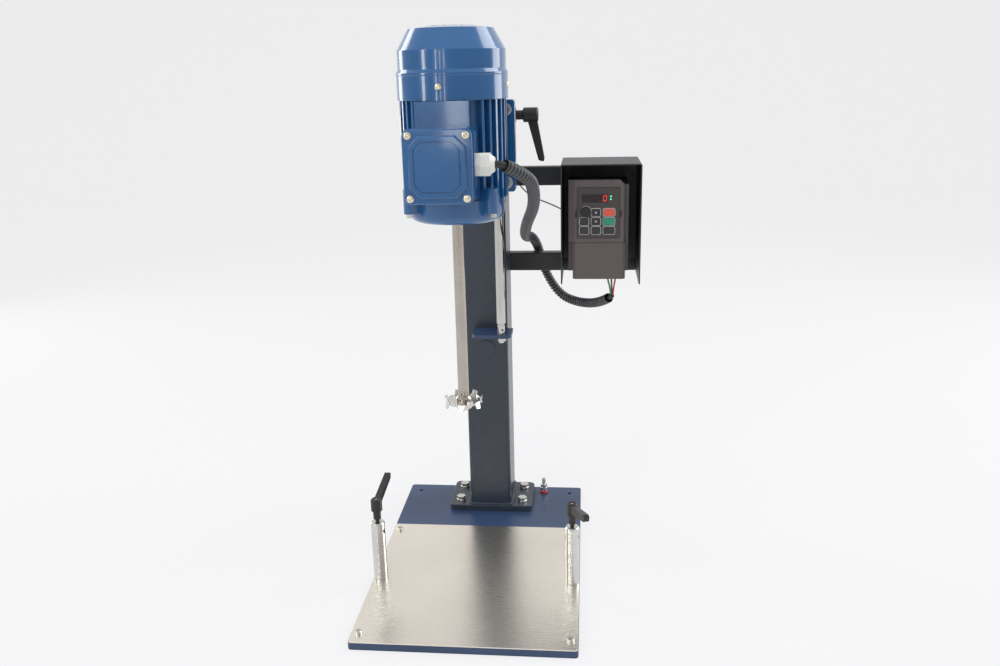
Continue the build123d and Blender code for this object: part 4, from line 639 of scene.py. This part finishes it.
# %% [markdown]
# ## Weld bead at the column's foot
# The column is welded to its foot plate all round. A weld is a rounded bead with ripples where
# the pool froze, one every 3 mm or so, and its size wanders a little. Here the bead's section
# is a circle whose radius ripples along the outline.

# %% Weld bead
column_size, column_corner, column_y, foot_top = (0.068, 0.086), 0.005, 0.187, 0.0203
bead_radius, ripple_pitch, bead_points = 0.0026, 0.0031, 900
column_outline, weld_run = resample(
    round_rectangle(*column_size, column_corner, 8), bead_points,
)
along_bead = np.linspace(0, 2 * math.pi, bead_points, endpoint=False)
ripples = np.cos(along_bead * round(weld_run / ripple_pitch))
wander = np.sin(along_bead * 7) * np.cos(along_bead * 3)
bead = (bead_radius * (1 + 0.10 * ripples + 0.12 * wander))[:, None]
bead_angle = np.linspace(0, 2 * math.pi, 12, endpoint=False)
bead_side = (0.0004 + bead * np.cos(bead_angle))[..., None] * outward(column_outline)[:, None]
bead_xy = column_outline[:, None] + bead_side + np.array([0, column_y])
bead_z = foot_top + bead * np.sin(bead_angle)
skin(
    "foot_weld", np.concatenate([bead_xy, bead_z[..., None]], -1), "column_paint", "stand",
    closed=(True, True), ends=False,
)
print("weld run:", round(weld_run, 4), "ripples:", round(weld_run / ripple_pitch))

# %% [markdown]
# ## Threads
# A thread is a surface whose radius depends on height and angle together: where height over
# pitch minus angle over a full turn gives the same remainder, the radius is the same, and that
# is a helix. It fades out over one turn at each end.

# %% Threads
motor_y = -0.128


def thread(name, centre, valley, crest, low, high, pitch, body, finish_name):
    """radius = valley + (crest - valley) times a triangle wave of (z / pitch - a / 2 pi)."""
    z = np.linspace(low, high, max(8, int((high - low) / pitch * 8)))
    a = np.linspace(0, 2 * math.pi, 28, endpoint=False)
    phase = (z[:, None] / pitch - a[None, :] / (2 * math.pi)) % 1.0
    fade = np.clip(np.minimum(z - low, high - z) / pitch, 0, 1)[:, None]
    radius = valley + (crest - valley) * (1 - np.abs(2 * phase - 1)) * fade
    x, y = centre[0] + radius * np.cos(a), centre[1] + radius * np.sin(a)
    points = np.stack([x, y, np.broadcast_to(z[:, None], x.shape)], -1)
    skin(name, points, finish_name, body)
    print(name, "turns:", round((high - low) / pitch, 1))


thread(
    "earth_thread", (0.086, 0.212), 0.00302, 0.00322, 0.0252, 0.0362, 0.001,
    "stand", "bright_zinc",
)
thread(
    "disc_thread", (0, motor_y), 0.00502, 0.0053, 0.2963, 0.2984, 0.00125,
    "rotor", "disc_steel",
)
thread(
    "spring_thread", (0.027, 0.113), 0.00402, 0.00428, 0.3138, 0.3163, 0.00125,
    "stand", "bright_zinc",
)

# %% [markdown]
# ## Screws in the lever hubs
# Each clamping lever is held on its stud by a small socket screw, seen at the bottom of a
# recess. The head is a set of rings whose radius is constant outside and follows a hexagon
# inside: flat distance over the cosine of the angle from the middle of the nearest flat.

# %% Socket screws
def placed(centre, axis, x_axis, x, y, z):
    """Points at centre + x x_axis + y y_axis + z axis, with y_axis = axis crossed with x_axis."""
    axis, x_axis = np.array(axis, float), np.array(x_axis, float)
    y_axis = np.cross(axis, x_axis)
    z = np.broadcast_to(z, x.shape)
    return np.array(centre) + x[..., None] * x_axis + y[..., None] * y_axis + z[..., None] * axis


def socket_screw(name, centre, axis, x_axis, radius, height, body):
    """A round screw head with a six-sided socket: rings of radius r at height z."""
    a = np.linspace(0, 2 * math.pi, 36, endpoint=False)
    hexagon = radius * 0.46 / np.cos((a + math.pi / 6) % (math.pi / 3) - math.pi / 6)
    rim = np.full_like(a, radius)
    r = np.stack([rim, rim, rim * 0.9, hexagon * 1.06, hexagon, hexagon * 0.02])
    z = np.array([0, 0.8, 1.0, 1.0, 0.35, 0.3])[:, None] * height
    points = placed(centre, axis, x_axis, r * np.cos(a), r * np.sin(a), z)
    skin(name, points, "bright_zinc", body)
    print(name, "on", body)


socket_screw(
    "lock_lever_screw", (0.0812, column_y, 0.653), (1, 0, 0), (0, 1, 0), 0.0034, 0.0022,
    "lock_lever",
)
post_x, post_y, recess_floor = 0.1395, -0.074, 0.1341
for side, side_name in ((-1, "left"), (1, "right")):
    socket_screw(
        f"{side_name}_lever_screw", (side * post_x, post_y, recess_floor), (0, 0, 1), (1, 0, 0),
        0.0024, 0.0020, f"{side_name}_post_lever",
    )

# %% [markdown]
# ## Round-headed screws of the motor
# Eight screws with domed heads and a cross recess hold the box lid and the fan cowl. A head is
# one surface: its height is an arc that falls to the rim, and it drops by a fixed depth
# wherever the point lies on one arm of the cross. The drop has a short slope at its side, so
# the recess gets real walls.

# %% Cross-recessed screws
def cross_screw(name, base, axis, x_axis, radius, height):
    """height(x, y) = dome(r) - depth times the arms, which are 1 inside and 0 outside."""
    r = np.concatenate([[radius * 0.5], [radius], radius * np.linspace(1.0, 0.02, 22)])
    a = np.linspace(0, 2 * math.pi, 64, endpoint=False)
    x, y = r[:, None] * np.cos(a), r[:, None] * np.sin(a)
    crown = height * np.sqrt(np.clip(1 - (0.94 * r / radius) ** 2, 0, 1))
    crown[:3] = [-0.0012, -0.0012, 0.0]  # a short shank below the head, and its rim
    across, along = np.minimum(np.abs(x), np.abs(y)), np.maximum(np.abs(x), np.abs(y))
    arm = np.clip((0.15 * radius - across) / (0.05 * radius), 0, 1)
    arm = arm * np.clip((0.62 * radius - along) / (0.08 * radius), 0, 1)
    arm[:3] = 0
    points = placed(base, axis, x_axis, x, y, crown[:, None] - 0.55 * height * arm)
    screw = skin(name, points, "yellow_zinc", "carriage")
    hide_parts("cover_screws")
    print(name, "at", np.round(base, 4))


lid_x, lid_z, lid_face, lid_half = -0.004, 0.6195, -0.237, (0.0315, 0.034)
for number, (sx, sz) in enumerate(((-1, -1), (-1, 1), (1, -1), (1, 1))):
    twist = math.radians(20 + 31 * number)
    spot = (lid_x + sx * lid_half[0], lid_face, lid_z + sz * lid_half[1])
    x_axis = (math.cos(twist), 0, math.sin(twist))
    cross_screw(f"lid_screw_{number}", spot, (0, -1, 0), x_axis, 0.0043, 0.0026)
cowl_middle, cowl_radius = np.array([0, motor_y, 0.703]), 0.0655
for number in range(4):
    angle = math.radians(-96 + 90 * number)
    way = np.array([math.cos(angle), math.sin(angle), 0])
    spot = cowl_middle + way * cowl_radius
    cross_screw(f"cowl_screw_{number}", spot, way, (0, 0, 1), 0.0040, 0.0022)

# %% [markdown]
# ## Blank rating plate
# The motor's plate lies on the fins at the left. It is a thin bent sheet with a rolled rim, and
# it is left blank. Its grid runs round the motor in one direction and up in the other, and the
# thickness swells at the rim. Two rivets hold it.

# %% Rating plate
plate_angle = np.linspace(math.radians(157), math.radians(203), 60)
plate_z = np.linspace(0.640, 0.672, 34)
plate_front, plate_back, plate_width, plate_height = 0.0640, 0.0633, 0.051, 0.032
round_share, up_share = np.linspace(0, 1, 60), np.linspace(0, 1, 34)
from_side = np.minimum(round_share, 1 - round_share)[:, None] * plate_width
from_end = np.minimum(up_share, 1 - up_share)[None, :] * plate_height
rim_swell = 0.0004 * np.exp(-((np.minimum(from_side, from_end) - 0.0018) / 0.0007) ** 2)


def round_motor(radius):
    """Points round the motor's axis: x = r cos a, y = axis + r sin a, z as it is."""
    return np.stack([
        radius * np.cos(plate_angle)[:, None], motor_y + radius * np.sin(plate_angle)[:, None],
        np.broadcast_to(plate_z, radius.shape),
    ], -1)


front = round_motor(plate_front + rim_swell)
back = round_motor(np.full_like(rim_swell, plate_back))
plate_points = np.concatenate([front, back[:, ::-1]], axis=1)
skin("rating_plate", plate_points, "plate_metal", "carriage")
print("plate:", plate_width, "by", plate_height)

# %% Rivets
def dome(name, centre, axis, x_axis, radius, height, finish_name, body):
    """A rivet or lamp: r = radius cos t, and rise = height sin t, from the rim to the top."""
    t = np.linspace(0, math.pi / 2 * 0.98, 8)[:, None]
    a = np.linspace(0, 2 * math.pi, 20, endpoint=False)
    x, y = radius * np.cos(t) * np.cos(a), radius * np.cos(t) * np.sin(a)
    points = placed(centre, axis, x_axis, x, y, height * np.sin(t))
    skin(name, points, finish_name, body)
    print(name, "radius:", radius)


plate_middle = np.array([0, motor_y, 0.656])
for number, degrees in enumerate((161, 199)):
    way = np.array([math.cos(math.radians(degrees)), math.sin(math.radians(degrees)), 0])
    dome(
        f"plate_rivet_{number}", plate_middle + way * 0.0639, way, (0, 0, 1), 0.0016, 0.0009,
        "bright_zinc", "carriage",
    )

# %% [markdown]
# ## Key frames
# The keys are framed by pale printed lines. A print is a very thin raised band, so that it has
# a real edge in every light. The knob's place in the upper left corner has no frame.

# %% Key frames
keypad_face, print_rise, frame_width = 0.1275, 0.00012, 0.0008
key_columns, key_rows = (0.154, 0.1716, 0.191), (0.5124, 0.49885, 0.4853)
key_widths, key_height, frame_gap = (0.0124, 0.0124, 0.016), 0.0104, 0.0008


def stood_up(flat, y):
    """A flat outline (x, z) as points at the depth y."""
    return np.stack([flat[:, 0], np.full(len(flat), y), flat[:, 1]], -1)


def printed_loop(outline):
    """A band along a closed outline: rows at its inner and outer edge, low and high."""
    outer = outline + outward(outline) * frame_width
    low, high = keypad_face, keypad_face - print_rise
    return np.stack([
        stood_up(outline, low), stood_up(outline, high), stood_up(outer, high),
        stood_up(outer, low),
    ])


framed = [(column, row) for column in range(3) for row in range(3) if (column, row) != (0, 0)]
for column, row in framed:
    loop = round_rectangle(key_widths[column] + frame_gap, key_height + frame_gap, 0.0020, 6)
    loop = loop + np.array([key_columns[column], key_rows[row]])
    skin(
        f"key_frame_{column}{row}", printed_loop(loop), "pale_print", "stand",
        closed=(True, True), ends=False,
    )
print("key frames:", len(framed))

# %% [markdown]
# ## Arrows and the knob's scale
# Two keys carry an arrow, and an arc that grows from thin to wide shows which way the knob
# turns up. An arrow rides on its key, so it goes in when the key is pressed. Words and names
# are left off.

# %% Arrows and scale
def flat_mark(name, outline, y, thickness, finish_name, body):
    """A flat shape with a real thickness: outline at the back, at the front, and drawn in."""
    middle = outline.mean(0)
    drawn_in = middle + (outline - middle) * 0.02
    rows = [stood_up(outline, y)] + [stood_up(o, y - thickness) for o in (outline, drawn_in)]
    skin(name, np.stack(rows), finish_name, body)


key_face = keypad_face - 0.0009
for mark_name, key, row, way_up in (
    ("arrow_up", "key_up", 0, 1), ("arrow_down", "key_down", 1, -1),
):
    arrow = np.array([[-0.0019, -0.0013], [0.0019, -0.0013], [0.0, 0.0019]]) * [1, way_up]
    arrow = resample(arrow, 30)[0] + np.array([key_columns[1], key_rows[row]])
    flat_mark(mark_name, arrow, key_face, 0.0001, "pale_print", key)

scale_angle = np.linspace(math.radians(140), math.radians(25), 40)
half_width = np.linspace(0.00015, 0.0008, 40)[:, None] / 2
knob_middle, scale_radius = np.array([0.1565, 0.5130]), 0.0088
scale_way = np.stack([np.cos(scale_angle), np.sin(scale_angle)], -1)
inner_arc = knob_middle + scale_way * (scale_radius - half_width)
outer_arc = knob_middle + scale_way * (scale_radius + half_width)
scale_face = keypad_face - print_rise
scale_points = np.stack([
    stood_up(inner_arc, keypad_face), stood_up(inner_arc, scale_face),
    stood_up(outer_arc, scale_face), stood_up(outer_arc, keypad_face),
], axis=1)
skin("knob_scale", scale_points, "pale_print", "stand")
print("scale from", scale_points[0, 0].round(4), "to", scale_points[-1, 0].round(4))

# %% [markdown]
# ## Display
# A seven-segment figure is made of six-sided bars that lean a little. The lit figure is a 0,
# which has all bars but the middle one, and the four figures before it are dark. Two green
# lamps are lit beside it. A lamp's light is a number on the shader's emission, mild enough to
# stay red and green.

# %% Lit finishes
def glowing(name, colour, strength):
    """A lamp's finish: a plastic colour with its own light, a little cloudy."""
    lit = finish(name, colour, roughness=0.3, drift=(300, 0.08), grain=(2000, 0.00001))
    shader = lit.node_tree.nodes["Principled BSDF"]
    shader.inputs["Emission Color"].default_value = (*colour, 1.0)
    shader.inputs["Emission Strength"].default_value = strength


glowing("lit_red", (1.0, 0.06, 0.04), 0.9)
glowing("dim_red", (0.045, 0.018, 0.016), 0.1)
glowing("lit_green", (0.10, 0.95, 0.45), 0.8)
print("finishes in all:", len(finishes))

# %% Figures and lamps
bar_length, bar_width, figure_lean = 0.0040, 0.0009, 0.12
first_figure, figure_step, figure_z = 0.1556, 0.0073, 0.5332
middle_bar = 2
bars = (  # x, z, and whether the bar stands up
    (0, 0.0042, False), (0, -0.0042, False), (0, 0, False),
    (-0.0021, 0.0021, True), (0.0021, 0.0021, True),
    (-0.0021, -0.0021, True), (0.0021, -0.0021, True),
)
tip, flank, half = bar_length / 2, (bar_length - bar_width) / 2, bar_width / 2
lying_bar = np.array([
    [-tip, 0], [-flank, -half], [flank, -half], [tip, 0], [flank, half], [-flank, half],
])
for figure in range(5):
    lit = figure == 4
    for part, (dx, dz, upright) in enumerate(bars):
        if lit and part == middle_bar:
            continue
        shape = (lying_bar[:, ::-1] if upright else lying_bar) + [dx, dz]
        shape[:, 0] += shape[:, 1] * figure_lean
        flat_mark(
            f"figure_{figure}_{part}", shape + [first_figure + figure * figure_step, figure_z],
            keypad_face, 0.00008, "lit_red" if lit else "dim_red", "stand",
        )
for number, (x, z) in enumerate(((0.1937, 0.5362), (0.1934, 0.5322))):
    dome(
        f"lamp_{number}", (x, keypad_face, z), (0, -1, 0), (1, 0, 0), 0.0012, 0.0005,
        "lit_green", "stand",
    )
print("bars in the display:", 5 * len(bars) - 1)

# %% [markdown]
# ## Floor and backdrop
# The object stands on a plain pale floor that bends up into a backdrop far behind, so no
# horizon shows. The floor is partly its own light, for the camera and for reflections alone,
# which keeps it pale while the lamps stay mild. The rest is matt, which takes the shadow.

# %% Floor finish
own_share = 0.86  # of what the camera and reflections see
floor_material = bpy.data.materials.new("pale_floor")
floor_material.use_nodes = True
floor_tree = floor_material.node_tree
matt = floor_tree.nodes["Principled BSDF"]
matt.inputs["Base Color"].default_value = (0.84, 0.84, 0.85, 1)
matt.inputs["Roughness"].default_value = 0.9
own_light = node(floor_tree, "ShaderNodeEmission", {"Color": (0.90, 0.90, 0.91, 1)})
rays = node(floor_tree, "ShaderNodeLightPath").outputs
seen_rays = {0: rays["Is Camera Ray"], 1: rays["Is Glossy Ray"]}
sharp = node(floor_tree, "ShaderNodeMath", seen_rays, operation="MAXIMUM").outputs[0]
lit = node(floor_tree, "ShaderNodeMath", {0: sharp, 1: own_share}, operation="MULTIPLY")
mixed = node(floor_tree, "ShaderNodeMixShader", {0: lit.outputs[0], 1: matt.outputs[0]})
floor_tree.links.new(own_light.outputs[0], mixed.inputs[2])
floor_tree.links.new(mixed.outputs[0], floor_tree.nodes["Material Output"].inputs["Surface"])
finishes["pale_floor"] = floor_material
print("floor finish with its own light:", own_share)

# %% Floor shape
floor_back, bend_width, bend_height, below_base = 4.0, 1.5, 1.5, 0.0002
bend = np.linspace(0.1, math.pi / 2, 20)
floor_y = np.concatenate([
    np.linspace(-floor_back, floor_back, 20), floor_back + bend_width * np.sin(bend),
    [floor_back + bend_width],
])
floor_z = np.concatenate([np.zeros(20), bend_height * (1 - np.cos(bend)), [6.0]]) - below_base
floor_x = np.linspace(-6.0, 6.0, 12)
floor_points = np.stack(np.broadcast_arrays(floor_x, floor_y[:, None], floor_z[:, None]), -1)
floor = grid_mesh("floor", floor_points, "pale_floor", closed=(False, False))
print("floor faces:", len(floor.data.polygons))

# %% [markdown]
# ## Lamps
# The picture was taken in a room with tall windows. Two large ones stand left and right, a
# little behind, and draw a pale band near both edges of every round piece. One more at the left
# front and three slits in front give the cowl its thin streaks, and a soft ceiling lights the
# sheet. The ceiling doesn't show in reflections, so the cowl's top stays blue.

# %% Lamps
def panel(name, place, aim, size, power):
    """A rectangular area lamp that looks at a point."""
    lamp = bpy.data.lights.new(name, "AREA")
    lamp.shape = "RECTANGLE"
    lamp.size, lamp.size_y = size
    lamp.energy = power
    holder = bpy.data.objects.new(name, lamp)
    bpy.context.scene.collection.objects.link(holder)
    holder.location = place
    holder.rotation_euler = (Vector(aim) - Vector(place)).to_track_quat("-Z", "Y").to_euler()
    return holder


panel("left_front_window", (-1.5, -1.3, 1.3), (0, 0, 0.5), (0.25, 1.5), 9)
panel("left_back_window", (-1.7, 1.0, 1.3), (0, 0, 0.5), (0.6, 2.2), 16)
panel("right_back_window", (1.9, 0.8, 1.5), (0, 0, 0.5), (1.1, 2.6), 34)
panel("front_slit_1", (-0.95, -2.2, 1.15), (0, 0, 0.8), (0.07, 1.4), 3)
panel("front_slit_2", (-0.62, -2.3, 1.15), (0, 0, 0.8), (0.05, 1.4), 1.6)
panel("front_slit_3", (-0.30, -2.4, 1.15), (0, 0, 0.8), (0.08, 1.4), 2)
ceiling = panel("ceiling", (0.1, -0.3, 2.3), (0, 0, 0.3), (1.8, 1.6), 20)
ceiling.visible_glossy = False
print("lamps:", len(bpy.data.lights))

# %% [markdown]
# ## World
# The world fills the shadows. It is a little darker low down, which gives metal something to
# reflect, and it is plain and pale where the camera looks straight at it.

# %% World
world = bpy.data.worlds.new("studio")
bpy.context.scene.world = world
world.use_nodes = True
sky = world.node_tree
look_way = node(sky, "ShaderNodeTexCoord").outputs["Generated"]
look_height = node(sky, "ShaderNodeSeparateXYZ", {0: look_way}).outputs[2]
low_tone, high_tone = [0.42, 0.42, 0.44, 1], [0.86, 0.87, 0.90, 1]
tone = blend_colours(sky, spread(sky, look_height, -0.3, 0.8), low_tone, high_tone)
fill_light = sky.nodes["Background"]
sky.links.new(tone, fill_light.inputs[0])
fill_light.inputs[1].default_value = 0.75
pale = node(sky, "ShaderNodeBackground", {"Color": (0.90, 0.90, 0.91, 1), "Strength": 1.0})
straight = node(sky, "ShaderNodeLightPath").outputs["Is Camera Ray"]
seen_sky = node(sky, "ShaderNodeMixShader", {
    0: straight, 1: fill_light.outputs[0], 2: pale.outputs[0],
})
sky.links.new(seen_sky.outputs[0], sky.nodes["World Output"].inputs["Surface"])
print("world strength:", fill_light.inputs[1].default_value)
